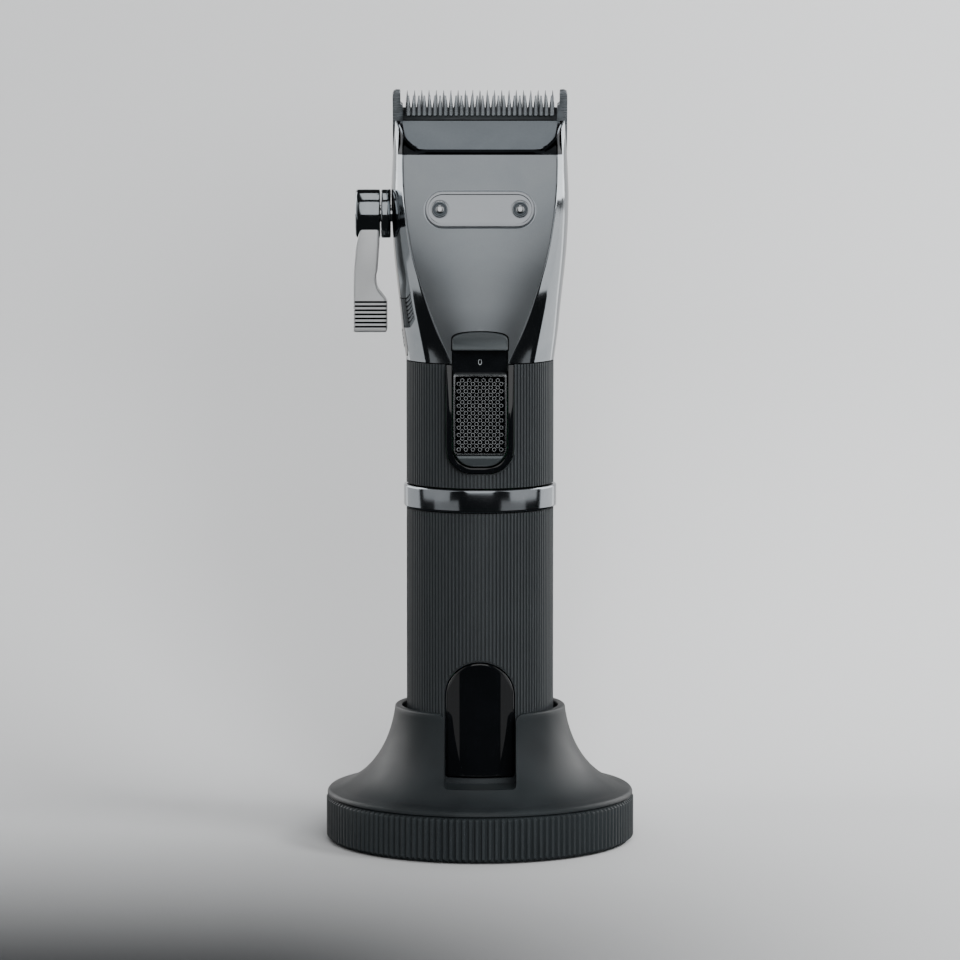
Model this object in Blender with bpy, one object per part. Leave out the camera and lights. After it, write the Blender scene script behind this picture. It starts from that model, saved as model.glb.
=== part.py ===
"""Cordless hair clipper standing in its charging stand.

The origin is the centre of the stand's underside. +Z is up, the clipper's front faces -Y
and its taper lever is on the -X side. Lengths are in metres.
"""

import math

import bmesh
import bpy
from mathutils import Matrix, Vector
from mathutils.geometry import interpolate_bezier

MM = 0.001
GAP = 0.3 * MM  # between neighbouring pieces

# Charging stand
BASE_RADIUS = 41.0 * MM
RIM_LIFT = 0.5 * MM  # knurled rim above the surface
RIM_TOP = 12.3 * MM
RIM_WALL = 2.2 * MM
SHELL_WALL = 2.2 * MM
SKIRT_DEPTH = 3.3 * MM  # shell's spigot inside the rim
COLLAR_TOP = 36.3 * MM
COLLAR_WALL = 2.0 * MM
COLLAR_LIP = 1.0 * MM  # height of the rounded lip
SHOULDER_HEIGHT = 1.6 * MM  # bell's round foot above the rim
SHOULDER_WIDTH = 2.4 * MM
RIM_BEVEL = 0.6 * MM
CUP_CLEARANCE = 1.2 * MM
NOTCH_WIDTH = 19.0 * MM
NOTCH_BOTTOM = 18.0 * MM
NOTCH_LIP_RADIUS = 2.0 * MM
FOOT_INNER_RADIUS = 31.0 * MM
FOOT_WIDTH = 5.0 * MM
FOOT_HEIGHT = 1.5 * MM
BASE_PLATE_LIFT = 0.9 * MM
BASE_PLATE_THICKNESS = 2.3 * MM
BALLAST_INNER_RADIUS = 24.0 * MM
BALLAST_WIDTH = 10.0 * MM
BALLAST_HEIGHT = 5.5 * MM
CUP_FLOOR_THICKNESS = 1.5 * MM
BOARD_THICKNESS = 1.6 * MM
CHARGE_BOARD_RADIUS = 18.0 * MM
CHARGE_BOARD_DROP = 2.3 * MM  # below the cup's floor
FLOOR_RIB_INNER_RADIUS = 12.0 * MM  # rib that the board hangs from
FLOOR_RIB_OUTER_RADIUS = 14.0 * MM
PIN_RADIUS = 1.0 * MM
PIN_SPACING = 12.0 * MM
INLET_WIDTH = 9.0 * MM
INLET_LENGTH = 12.0 * MM
INLET_INSET = 0.6 * MM  # its mouth inside the rim's face
INLET_FLOOR = 2.0 * MM
INLET_SIDE_WALL = 0.35 * MM  # least wall round the bore
INLET_PIN_INSET = 1.5 * MM
INLET_BORE_RADIUS = 3.0 * MM
INLET_PIN_RADIUS = 1.0 * MM
BASE_SCREW_CIRCLE = 21.0 * MM
BASE_SCREW_RADIUS = 2.6 * MM

# Grip
GRIP_RADIUS = 19.5 * MM
GRIP_WALL = 2.0 * MM
CLIPPER_BOTTOM = 14.0 * MM
END_CAP_FLANGE = 1.0 * MM
END_CAP_PLUG = 3.5 * MM
CONTACT_RADIUS = 1.5 * MM
LOWER_GRIP_LENGTH = 73.9 * MM
RING_HEIGHT = 6.0 * MM
RING_PROUD = 0.75 * MM  # ring's radius beyond the grip's
RING_FILLET = 0.6 * MM
UPPER_GRIP_LENGTH = 32.4 * MM

# Charge display in the lower grip
DISPLAY_WIDTH = 17.9 * MM
DISPLAY_HEIGHT = 30.3 * MM
DISPLAY_SILL = 5.4 * MM  # its low end above the clipper's bottom
DISPLAY_PROUD = 0.2 * MM
DISPLAY_BOARD_WIDTH = 15.2 * MM
DISPLAY_BOARD_LOW = 1.6 * MM  # its low end above the window's
DISPLAY_BOARD_HIGH = 3.0 * MM  # its high end below the window's

# Power switch
SWITCH_TRAVEL = 5.5 * MM
PLATE_WIDTH = 14.1 * MM
PLATE_HEIGHT = 21.0 * MM
PLATE_THICKNESS = 0.9 * MM
SLIDER_THICKNESS = 1.8 * MM
TAIL_HEIGHT = 3.2 * MM
BEZEL_WALL = 1.4 * MM
BEZEL_PROUD = 0.5 * MM
BEZEL_ROUNDNESS = 0.75  # low corners' radius in its half width
BEZEL_LOW = 4.1 * MM  # its low end above the upper grip's
BRIDGE_HEIGHT = 4.7 * MM
BRIDGE_PROUD = 1.5 * MM
BRIDGE_LAP = 0.2 * MM  # each side beyond the plate's
BRIDGE_CORNER = 3.2 * MM
SHARP_CORNER = 0.1 * MM
BEZEL_DEPTH = 4.0 * MM
SLIDER_SIDE_GAP = 0.15 * MM
TAIL_STEP = 0.2 * MM  # tail inside the slider's outline
TAIL_ROOT = 0.5 * MM
PLATE_LOW_CORNER = 1.2 * MM
PLATE_HIGH_CORNER = 0.3 * MM
TRACK_THICKNESS = 1.3 * MM

# Head casing: height above its base, half width, panel's half width, chamfer's half width,
# then how far the panel's middle, its edge and the chamfer's edge stand in front of the axis,
# and the back behind it.
HEAD_LENGTH = 62.8 * MM
HEAD_STATIONS = (
    (0.0, 19.6, 7.6, 13.4, 19.5, 17.9, 14.2, 19.5),
    (0.12, 20.6, 10.9, 15.4, 19.5, 17.6, 13.9, 19.4),
    (0.245, 21.4, 13.9, 17.3, 19.1, 17.0, 13.4, 19.1),
    (0.457, 22.8, 17.9, 19.8, 17.7, 15.9, 12.4, 17.8),
    (0.669, 23.4, 19.9, 21.2, 15.0, 13.9, 11.0, 14.8),
    (0.82, 23.1, 20.3, 21.6, 12.3, 11.6, 9.2, 13.0),
    (0.88, 22.9, 20.2, 21.5, 11.0, 10.5, 8.4, 12.5),
    (1.0, 22.3, 20.2, 21.3, 1.0, 0.8, 0.4, 12.0),
)
NOSE_STATIONS = 2
HEAD_WALL = 1.8 * MM
NOSE_THICKNESS = 5.0 * MM  # thinner stations keep their front in place
NOSE_DROP = 1.4 * MM  # inner nose below the outer
NOSE_SHIFTS = (-0.7 * MM, 1.1 * MM)  # inner nose's two levels, forwards and back
SEAM_Y = 3.0 * MM  # between the front and the back casing
BADGE_WIDTH = 28.8 * MM
BADGE_HEIGHT = 9.5 * MM
BADGE_THICKNESS = 1.1 * MM
BADGE_RECESS = 0.8 * MM
BADGE_PLACE = 0.639  # of the head's length
BADGE_SCREW_SPACING = 21.0 * MM
BADGE_SCREW_RADIUS = 2.2 * MM
TRACK_HALF_DEPTH = 6.0 * MM
TRACK_LOW = 0.9 * MM  # above the head's base
TRACK_HIGH = 46.0 * MM
TRACK_CORNER = 3.0 * MM

# Blades, on a plane that leans back from the tips
BLADE_LEAN = math.radians(18.0)
BLADE_REACH = 8.1 * MM  # tips above the casing
BLADE_TIP_Y = 2.0 * MM
COMB_WIDTH = 46.2 * MM
COMB_LENGTH = 30.0 * MM
COMB_THICKNESS = 2.4 * MM
COMB_TEETH = 21
COMB_TOOTH_LENGTH = 7.0 * MM
COMB_PITCH = 1.92 * MM
COMB_TRAVEL = 1.2 * MM
COMB_HEEL_DROP = 0.4 * MM  # plain ends behind the teeth's tips
COMB_TIP_WIDTH = 0.5 * MM
COMB_TIP_THICKNESS = 0.4 * MM
TOOTH_ROOT_WIDTH = 1.1 * MM
BEVEL_RUN = 2.0 * MM  # comb's bevel past the teeth's roots
CUT_PAST = 0.1 * MM  # bevels' cuts beyond the face
CUTTER_WIDTH = 40.6 * MM
CUTTER_SETBACK = 1.5 * MM  # cutter's tips behind the comb's
CUTTER_LENGTH = 13.5 * MM
CUTTER_THICKNESS = 1.8 * MM
CUTTER_TEETH = 28
CUTTER_TOOTH_LENGTH = 2.4 * MM
CUTTER_TRAVEL = 1.2 * MM
CUTTER_TIP_WIDTH = 0.4 * MM
CUTTER_TIP_THICKNESS = 0.6 * MM
CARRIER_WIDTH = 30.0 * MM
CARRIER_THICKNESS = 1.9 * MM
CARRIER_TOP = 18.5 * MM  # from the comb's tips
CARRIER_TAB_SPAN = (0.5 * MM, 2.7 * MM)  # from the shaft's inner end
CARRIER_TAB_REACH = 1.8 * MM  # past the cam pin
CARRIER_TAB_HALF = 2.5 * MM
CARRIER_TAB_BACK = 8.5 * MM
CARRIER_TAB_RUN = 5.0 * MM  # where it joins the plate, below the plate's top
BLADE_SCREW_SPACING = 19.0 * MM
BLADE_SCREW_RADIUS = 1.6 * MM
BLADE_SCREW_PLACE = 25.0 * MM
BLADE_SCREW_HEAD = 1.6 * MM
SPRING_RADIUS = 0.6 * MM
SPRING_INSET = 3.0 * MM  # its ends past the rails' inner sides
SPRING_DROPS = (8.0 * MM, 5.5 * MM, -2.5 * MM)  # path below the rails' tops
SPRING_ARMS = (10.0 * MM, 9.0 * MM)  # path from the middle
RAIL_INNER = 12.8 * MM
RAIL_THICKNESS = 2.2 * MM
RAIL_END = 2.0 * MM  # above the comb's low end
RAIL_CORNER = 3.8 * MM  # the casing's back corners are round

# Taper lever
LEVER_PLACE = 0.611  # of the head's length
HUB_RADIUS = 6.45 * MM
HUB_LENGTH = 6.5 * MM
COLLAR_LENGTH = 2.5 * MM
ARM_LENGTH = 31.1 * MM
ARM_DEPTH = 10.0 * MM
ARM_THICKNESS = 6.0 * MM
TAB_THICKNESS = 8.8 * MM
TAB_LENGTH = 8.8 * MM
TAB_SLOPE = 3.4 * MM  # between the tab and the arm
ARM_PROUD = 0.5 * MM  # arm's outer side beyond the hub's
ARM_WAIST = 0.6 * MM
ARM_ROOT_INSETS = (0.8 * MM, 0.2 * MM)  # from the hub's outer end
SHAFT_SEAT_WALL = 3.5 * MM  # left in the hub outside the shaft
LEVER_SCREW_DEPTH = 1.6 * MM
LEVER_SCREW_INSET = 0.2 * MM
LEVER_SHAFT_RADIUS = 2.2 * MM
LEVER_SHAFT_REACH = 11.5 * MM  # its inner end from the middle
LEVER_ANGLE = math.radians(40.0)
CAM_PIN_RADIUS = 0.8 * MM
CAM_PIN_LENGTH = 3.0 * MM
CAM_PIN_ROOT = 0.5 * MM
CAM_OFFSET = COMB_TRAVEL / math.sin(LEVER_ANGLE)

# Drive
MOTOR_RADIUS = 12.0 * MM
MOTOR_LENGTH = 22.9 * MM
MOTOR_BOSS_RADIUS = 3.5 * MM
MOTOR_BOSS_HEIGHT = 1.5 * MM
MOTOR_SHAFT_RADIUS = 1.0 * MM
CRADLE_WALL = 1.9 * MM
CRADLE_HEIGHT = 22.0 * MM
ECCENTRIC_RADIUS = 3.8 * MM
ECCENTRIC_HEIGHT = 3.3 * MM
CRANK_OFFSET = 1.2 * MM
CRANK_PIN_RADIUS = 0.9 * MM
CRANK_PIN_LENGTH = 6.4 * MM
FORK_WALL = 1.5 * MM
FORK_HALF_DEPTH = 2.3 * MM
FORK_FOOT = 5.5 * MM  # its length along the cutter
FORK_FOOT_THICKNESS = 2.2 * MM
FORK_KNEE = 4.0 * MM  # below the foot
BATTERY_RADIUS = 9.2 * MM
BATTERY_LENGTH = 65.0 * MM
CHASSIS_WALL = 2.2 * MM
MAIN_BOARD_WIDTH = 27.0 * MM
MAIN_BOARD_LENGTH = 70.0 * MM
MAIN_BOARD_DROP = 4.0 * MM  # below the chassis's top
BATTERY_LIFT = 2.0 * MM  # above the chassis's low end
MICRO_SWITCH_HALF_WIDTH = 4.0 * MM
MICRO_SWITCH_HALF_HEIGHT = 5.0 * MM
CRADLE_BORE_RADIUS = 3.0 * MM
CRADLE_FLANGE_INSET = 0.7 * MM
SHAFT_SEAT_DROP = 1.2 * MM  # eccentric's cap over the motor's shaft
CRANK_PIN_ROOT = 0.5 * MM

LARGE_ROUND = 64
MEDIUM_ROUND = 44
SMALL_ROUND = 16

# Levels and places that follow from the sizes
LOWER_GRIP_LOW = CLIPPER_BOTTOM + END_CAP_FLANGE + GAP
RING_LOW = LOWER_GRIP_LOW + LOWER_GRIP_LENGTH + GAP
UPPER_GRIP_LOW = RING_LOW + RING_HEIGHT + GAP
UPPER_GRIP_TOP = UPPER_GRIP_LOW + UPPER_GRIP_LENGTH
HEAD_BASE = UPPER_GRIP_TOP + GAP
HEAD_TOP = HEAD_BASE + HEAD_LENGTH
BLADE_TIP_Z = HEAD_TOP + BLADE_REACH
GRIP_BORE = GRIP_RADIUS - GRIP_WALL
CUP_RADIUS = GRIP_RADIUS + CUP_CLEARANCE
COLLAR_RADIUS = CUP_RADIUS + COLLAR_WALL
CUP_LOW = CLIPPER_BOTTOM  # low edge of the cup's wall
CUP_FLOOR_TOP = CUP_LOW - GAP
CHASSIS_LOW = LOWER_GRIP_LOW + END_CAP_PLUG + GAP
CHASSIS_TOP = HEAD_BASE - 2.5 * MM
CHASSIS_RADIUS = GRIP_BORE - GAP
BATTERY_Y = CHASSIS_RADIUS - CHASSIS_WALL - GAP - BATTERY_RADIUS
MAIN_BOARD_Y = BATTERY_Y - BATTERY_RADIUS - GAP - BOARD_THICKNESS
PLATE_LOW = UPPER_GRIP_LOW + BEZEL_LOW + BEZEL_WALL + GAP + TAIL_HEIGHT
BEZEL_HALF = PLATE_WIDTH / 2 + GAP + BEZEL_WALL
BRIDGE_LOW = PLATE_LOW + PLATE_HEIGHT + SWITCH_TRAVEL + 0.9 * MM
BRIDGE_TOP = BRIDGE_LOW + BRIDGE_HEIGHT
TRACK_FLOOR_Y = -(GRIP_RADIUS - 2.4 * MM)
SLIDER_Y = TRACK_FLOOR_Y - GAP
PLATE_Y = SLIDER_Y - SLIDER_THICKNESS - GAP
LEVER_Z = HEAD_BASE + LEVER_PLACE * HEAD_LENGTH
POCKET_FRONT = GAP + CUTTER_THICKNESS + 0.4 * MM
CRADLE_LOW = CHASSIS_TOP + GAP
MOTOR_LOW = CRADLE_LOW + CRADLE_WALL + GAP
MOTOR_TOP = MOTOR_LOW + MOTOR_LENGTH
ECCENTRIC_LOW = MOTOR_TOP + MOTOR_BOSS_HEIGHT + 2.0 * MM
CRANK_PIN_TOP = ECCENTRIC_LOW + ECCENTRIC_HEIGHT + CRANK_PIN_LENGTH
FORK_LOW = ECCENTRIC_LOW + ECCENTRIC_HEIGHT + 0.4 * MM
FORK_GAP = CRANK_OFFSET + CRANK_PIN_RADIUS + CUTTER_TRAVEL + GAP


def clear_scene():
    for item in list(bpy.data.objects):
        bpy.data.objects.remove(item, do_unlink=True)


def linear(value):
    value /= 255
    return value / 12.92 if value <= 0.04045 else ((value + 0.055) / 1.055) ** 2.4


def finish(name, colour, roughness, metallic):
    """A plain material; the colour is an sRGB hex triplet."""
    material = bpy.data.materials.new(name)
    material.use_nodes = True
    shader = material.node_tree.nodes["Principled BSDF"]
    red_green_blue = [linear(int(colour[i : i + 2], 16)) for i in (0, 2, 4)]
    shader.inputs["Base Color"].default_value = (*red_green_blue, 1)
    shader.inputs["Roughness"].default_value = roughness
    shader.inputs["Metallic"].default_value = metallic
    return material


def make_finishes():
    return {
        "soft_black": finish("soft_black_plastic", "2b2f31", 0.55, 0),
        "gloss_black": finish("gloss_black_plastic", "0b0c0d", 0.08, 0),
        "grey_plastic": finish("grey_plastic", "484d4f", 0.5, 0),
        "dark_chrome": finish("dark_chrome", "767b7f", 0.12, 1),
        "gunmetal": finish("satin_gunmetal", "8c9194", 0.3, 1),
        "badge_metal": finish("badge_metal", "a9adb2", 0.35, 1),
        "satin_silver": finish("satin_silver", "a3a6a8", 0.32, 1),
        "blade_steel": finish("blade_steel", "5a5e61", 0.3, 1),
        "bright_steel": finish("bright_steel", "c2c5c7", 0.22, 1),
        "ballast_steel": finish("ballast_steel", "83878a", 0.6, 1),
        "brass": finish("gilt_contact", "c9a45a", 0.3, 1),
        "rubber": finish("foot_rubber", "1b1c1d", 0.85, 0),
        "board": finish("circuit_board", "1f4a36", 0.5, 0),
        "battery_wrap": finish("battery_wrap", "3b6ea5", 0.45, 0),
    }


def frame_at(name, place, parent=None):
    """An empty that stands on a moving body's joint axis."""
    empty = bpy.data.objects.new(name, None)
    empty.empty_display_size = 10 * MM
    empty.parent = parent
    empty.location = Vector(place) - (world_place(parent) if parent else Vector())
    bpy.context.scene.collection.objects.link(empty)
    return empty


def world_place(item):
    place = Vector()
    while item:
        place += item.location
        item = item.parent
    return place


def piece(name, shape, material=None, frame=None):
    """Makes an object of a bmesh drawn in world places, with its origin at its frame's."""
    bmesh.ops.recalc_face_normals(shape, faces=shape.faces)
    if shape.calc_volume(signed=True) < 0:
        bmesh.ops.reverse_faces(shape, faces=shape.faces)
    origin = world_place(frame)
    bmesh.ops.translate(shape, verts=shape.verts, vec=-origin)
    mesh = bpy.data.meshes.new(name)
    shape.to_mesh(mesh)
    shape.free()
    item = bpy.data.objects.new(name, mesh)
    bpy.context.scene.collection.objects.link(item)
    item.parent = frame
    if material:
        mesh.materials.append(material)
        mesh.shade_smooth()
        mesh.set_sharp_from_angle(angle=math.radians(35))
    return item


def cutter(name, shape):
    item = piece(name, shape)
    item.hide_render = True
    item.display_type = "WIRE"
    return item


def combine(item, other, operation="DIFFERENCE"):
    modifier = item.modifiers.new(other.name, "BOOLEAN")
    modifier.operation = operation
    modifier.solver = "EXACT"
    modifier.object = other


def turned(profile, segments, centre=(0, 0)):
    """A solid of revolution about Z. The profile's (radius, z) points go round its outline,
    and a flat cap closes it where they reach the axis."""
    shape = bmesh.new()
    rings = []
    for radius, z in profile:
        ring = []
        for step in range(segments if radius else 0):
            angle = 2 * math.pi * step / segments
            x = centre[0] + radius * math.cos(angle)
            y = centre[1] + radius * math.sin(angle)
            ring.append(shape.verts.new((x, y, z)))
        rings.append(ring)
    for ring, after in zip(rings, rings[1:] + rings[:1]):
        if ring and after:
            for i in range(segments):
                j = (i + 1) % segments
                shape.faces.new((ring[i], ring[j], after[j], after[i]))
        elif ring or after:
            shape.faces.new(ring or after)
    return shape


def tube(outer, inner, low, high, segments, centre=(0, 0)):
    return turned([(outer, low), (outer, high), (inner, high), (inner, low)], segments, centre)


def disc(radius, low, high, segments, centre=(0, 0)):
    return turned([(0, low), (radius, low), (radius, high), (0, high)], segments, centre)


def front_view(u, v, w):
    return (u, w, v)


def side_view(u, v, w):
    return (w, u, v)


def blade_view(x, down, front):
    """down runs from the comb's tips along the blades, front stands off the cutting plane."""
    return (x, *blade_place(down, front))


def blade_place(down, front):
    y = BLADE_TIP_Y + down * math.sin(BLADE_LEAN) - front * math.cos(BLADE_LEAN)
    z = BLADE_TIP_Z - down * math.cos(BLADE_LEAN) - front * math.sin(BLADE_LEAN)
    return (y, z)


def prism(outline, low, high, view):
    shape = bmesh.new()
    ends = [[shape.verts.new(view(u, v, w)) for u, v in outline] for w in (low, high)]
    count = len(outline)
    for i in range(count):
        after = (i + 1) % count
        shape.faces.new((ends[0][i], ends[0][after], ends[1][after], ends[1][i]))
    shape.faces.new(ends[0])
    shape.faces.new(ends[1])
    return shape


def box(low, high):
    outline = rectangle(low[0], high[0], low[2], high[2])
    return prism(outline, low[1], high[1], front_view)


def rectangle(left, right, low, high):
    return [(left, low), (right, low), (right, high), (left, high)]


def arc(centre, radius, start, end, steps):
    """Points round an arc, from start to end in degrees."""
    angles = [math.radians(start + (end - start) * i / steps) for i in range(steps + 1)]
    return [(centre[0] + radius * math.cos(a), centre[1] + radius * math.sin(a)) for a in angles]


def rounded(left, right, low, high, low_radius, high_radius, steps=4):
    """A rectangle with one radius at its two low corners and one at its two high corners."""
    return (
        arc((right - low_radius, low + low_radius), low_radius, -90, 0, steps)
        + arc((right - high_radius, high - high_radius), high_radius, 0, 90, steps)
        + arc((left + high_radius, high - high_radius), high_radius, 90, 180, steps)
        + arc((left + low_radius, low + low_radius), low_radius, 180, 270, steps)
    )


def rod(start, end, radius, segments):
    """A round rod between two points."""
    start, end = Vector(start), Vector(end)
    shape = disc(radius, 0, (end - start).length, segments)
    turn = Vector((0, 0, 1)).rotation_difference(end - start).to_matrix().to_4x4()
    shape.transform(Matrix.Translation(start) @ turn)
    return shape


# Charging stand


def flare_outline(inset):
    """The bell's curve from under the lip down to the shoulder, moved in by the inset."""
    top = Vector((COLLAR_RADIUS, COLLAR_TOP - COLLAR_LIP))
    shoulder = Vector((BASE_RADIUS - SHOULDER_WIDTH, RIM_TOP + SHOULDER_HEIGHT))
    drop = top.y - shoulder.y
    spread = shoulder.x - top.x
    handle_top = Vector((top.x + 0.066 * spread, top.y - 0.358 * drop))
    handle_low = Vector((top.x + 0.307 * spread, shoulder.y + 0.169 * drop))
    curve = interpolate_bezier(
        top.to_3d(), handle_top.to_3d(), handle_low.to_3d(), shoulder.to_3d(), 9
    )
    points = []
    for i, point in enumerate(curve):
        along = curve[min(i + 1, len(curve) - 1)] - curve[max(i - 1, 0)]
        normal = Vector((-along.y, along.x)).normalized()
        if normal.x < 0:
            normal = -normal
        points.append((point.x - inset * normal.x, point.y - inset * normal.y))
    return points


def notch_outline(margin):
    """The display notch, seen from the front, with its lip rounded outwards at the top."""
    half = NOTCH_WIDTH / 2 + margin
    low = NOTCH_BOTTOM - margin
    lip = NOTCH_LIP_RADIUS
    right = arc((half + lip, COLLAR_TOP - lip), lip, 180, 90, 4)
    above = COLLAR_TOP + 2 * MM
    corners = arc((-half + MM, low + MM), MM, 180, 270, 3) + arc((half - MM, low + MM), MM, 270, 360, 3)
    left = [(-x, z) for x, z in reversed(right)]
    return corners + right + [(right[-1][0], above), (left[0][0], above)] + left


def build_stand(frame, finishes):
    skirt_low = RIM_TOP - SKIRT_DEPTH
    skirt_radius = BASE_RADIUS - RIM_WALL - GAP
    shoulder_top = RIM_TOP + SHOULDER_HEIGHT
    lip = [
        (CUP_RADIUS, COLLAR_TOP - 0.8 * MM),
        (CUP_RADIUS + 0.4 * MM, COLLAR_TOP - 0.1 * MM),
        (CUP_RADIUS + 0.9 * MM, COLLAR_TOP),
        (COLLAR_RADIUS - 0.4 * MM, COLLAR_TOP - 0.3 * MM),
    ]
    shoulder = [
        (BASE_RADIUS - 1.0 * MM, shoulder_top - 0.7 * MM),
        (BASE_RADIUS - 0.25 * MM, RIM_TOP + 0.6 * MM),
        (BASE_RADIUS - 0.25 * MM, RIM_TOP + GAP),
    ]
    spigot = [
        (skirt_radius, RIM_TOP + GAP),
        (skirt_radius, skirt_low),
        (skirt_radius - SHELL_WALL, skirt_low),
    ]
    block = lip + flare_outline(0) + shoulder + spigot
    block += [(skirt_radius - SHELL_WALL, CUP_LOW), (CUP_RADIUS, CUP_LOW)]
    shell = piece("stand_shell", turned(block, LARGE_ROUND), finishes["soft_black"], frame)
    cup_outside = CUP_RADIUS + SHELL_WALL
    roof = [point for point in flare_outline(SHELL_WALL) if point[0] > cup_outside]
    hollow = [(cup_outside, skirt_low - MM), (cup_outside, roof[0][1])] + roof
    hollow += [(skirt_radius - SHELL_WALL, roof[-1][1]), (skirt_radius - SHELL_WALL, skirt_low - MM)]
    hollow_cut = cutter("shell_hollow", turned(hollow, LARGE_ROUND))
    frame_width = NOTCH_WIDTH / 2 + SHELL_WALL
    kept = box(
        (-frame_width, -BASE_RADIUS, NOTCH_BOTTOM - SHELL_WALL), (frame_width, 0, COLLAR_TOP)
    )
    combine(hollow_cut, cutter("notch_frame", kept))
    combine(shell, hollow_cut)
    notch = prism(notch_outline(0), -BASE_RADIUS - MM, -GRIP_RADIUS / 2, front_view)
    combine(shell, cutter("display_notch", notch))

    rim = [
        (BASE_RADIUS - RIM_WALL, RIM_LIFT),
        (BASE_RADIUS - RIM_BEVEL, RIM_LIFT),
        (BASE_RADIUS, RIM_LIFT + RIM_BEVEL),
        (BASE_RADIUS, RIM_TOP - RIM_BEVEL),
        (BASE_RADIUS - RIM_BEVEL, RIM_TOP),
        (BASE_RADIUS - RIM_WALL, RIM_TOP),
    ]
    ring = piece("knurled_rim", turned(rim, LARGE_ROUND), finishes["soft_black"], frame)
    inlet_low = BASE_PLATE_LIFT + BASE_PLATE_THICKNESS + GAP
    inlet_high = skirt_low - GAP
    inlet_half = INLET_WIDTH / 2
    mouth = box(
        (-inlet_half - GAP, 0, inlet_low - GAP), (inlet_half + GAP, 2 * BASE_RADIUS, inlet_high + GAP)
    )
    combine(ring, cutter("inlet_mouth", mouth))

    build_inlet(frame, finishes, inlet_low, inlet_high)
    build_base(frame, finishes)
    build_charger(frame, finishes)


def build_inlet(frame, finishes, low, high):
    half = INLET_WIDTH / 2
    back = BASE_RADIUS - INLET_INSET
    middle = (low + high) / 2
    shape = box((-half, back - INLET_LENGTH, low), (half, back, high))
    socket = piece("dc_inlet", shape, finishes["gloss_black"], frame)
    floor = back - INLET_LENGTH + INLET_FLOOR
    bore_radius = min(INLET_BORE_RADIUS, (high - low) / 2 - INLET_SIDE_WALL)
    bore = rod((0, floor, middle), (0, back + MM, middle), bore_radius, 20)
    combine(socket, cutter("inlet_bore", bore))
    pin = rod((0, floor + GAP, middle), (0, back - INLET_PIN_INSET, middle), INLET_PIN_RADIUS, 12)
    piece("inlet_pin", pin, finishes["bright_steel"], frame)


def build_base(frame, finishes):
    low = BASE_PLATE_LIFT
    high = low + BASE_PLATE_THICKNESS
    radius = BASE_RADIUS - RIM_WALL - GAP
    groove_in = FOOT_INNER_RADIUS - GAP
    groove_out = FOOT_INNER_RADIUS + FOOT_WIDTH + GAP
    groove_top = FOOT_HEIGHT + GAP
    outline = [
        (0, low),
        (groove_in, low),
        (groove_in, groove_top),
        (groove_out, groove_top),
        (groove_out, low),
        (radius, low),
        (radius, high),
        (0, high),
    ]
    plate = piece("base_plate", turned(outline, LARGE_ROUND), finishes["soft_black"], frame)
    foot = tube(FOOT_INNER_RADIUS + FOOT_WIDTH, FOOT_INNER_RADIUS, 0, FOOT_HEIGHT, LARGE_ROUND)
    piece("foot_ring", foot, finishes["rubber"], frame)
    for number in range(3):
        angle = math.radians(30 + 120 * number)
        place = (BASE_SCREW_CIRCLE * math.cos(angle), BASE_SCREW_CIRCLE * math.sin(angle))
        hole = disc(BASE_SCREW_RADIUS + GAP, low - MM, high + MM, SMALL_ROUND, place)
        combine(plate, cutter(f"base_screw_hole_{number + 1}", hole))
        screw = disc(BASE_SCREW_RADIUS, low + GAP, high, SMALL_ROUND, place)
        piece(f"base_screw_{number + 1}", screw, finishes["bright_steel"], frame)
    outer = BALLAST_INNER_RADIUS + BALLAST_WIDTH
    ballast_low = high + GAP
    weight = tube(outer, BALLAST_INNER_RADIUS, ballast_low, ballast_low + BALLAST_HEIGHT, 48)
    ballast = piece("ballast_ring", weight, finishes["ballast_steel"], frame)
    clear = INLET_WIDTH / 2 + 2 * GAP
    top = ballast_low + BALLAST_HEIGHT + MM
    room = box((-clear, 0, ballast_low - MM), (clear, BASE_RADIUS, top))
    combine(ballast, cutter("ballast_room", room))


def build_charger(frame, finishes):
    high = CUP_FLOOR_TOP
    low = high - CUP_FLOOR_THICKNESS
    board_top = low - CHARGE_BOARD_DROP
    radius = CUP_RADIUS + SHELL_WALL
    outline = [
        (0, low),
        (FLOOR_RIB_INNER_RADIUS, low),
        (FLOOR_RIB_INNER_RADIUS, board_top + GAP),
        (FLOOR_RIB_OUTER_RADIUS, board_top + GAP),
        (FLOOR_RIB_OUTER_RADIUS, low),
        (radius, low),
        (radius, high),
        (0, high),
    ]
    floor = piece("cup_floor", turned(outline, 48), finishes["soft_black"], frame)
    board = disc(CHARGE_BOARD_RADIUS, board_top - BOARD_THICKNESS, board_top, 32)
    piece("charge_board", board, finishes["board"], frame)
    for side, x in (("left", -PIN_SPACING / 2), ("right", PIN_SPACING / 2)):
        hole = disc(PIN_RADIUS + GAP, low - MM, high + MM, SMALL_ROUND, (x, 0))
        combine(floor, cutter(f"pin_hole_{side}", hole))
        pin = disc(PIN_RADIUS, board_top + GAP, CLIPPER_BOTTOM, SMALL_ROUND, (x, 0))
        piece(f"charge_pin_{side}", pin, finishes["brass"], frame)


# Grip


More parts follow.
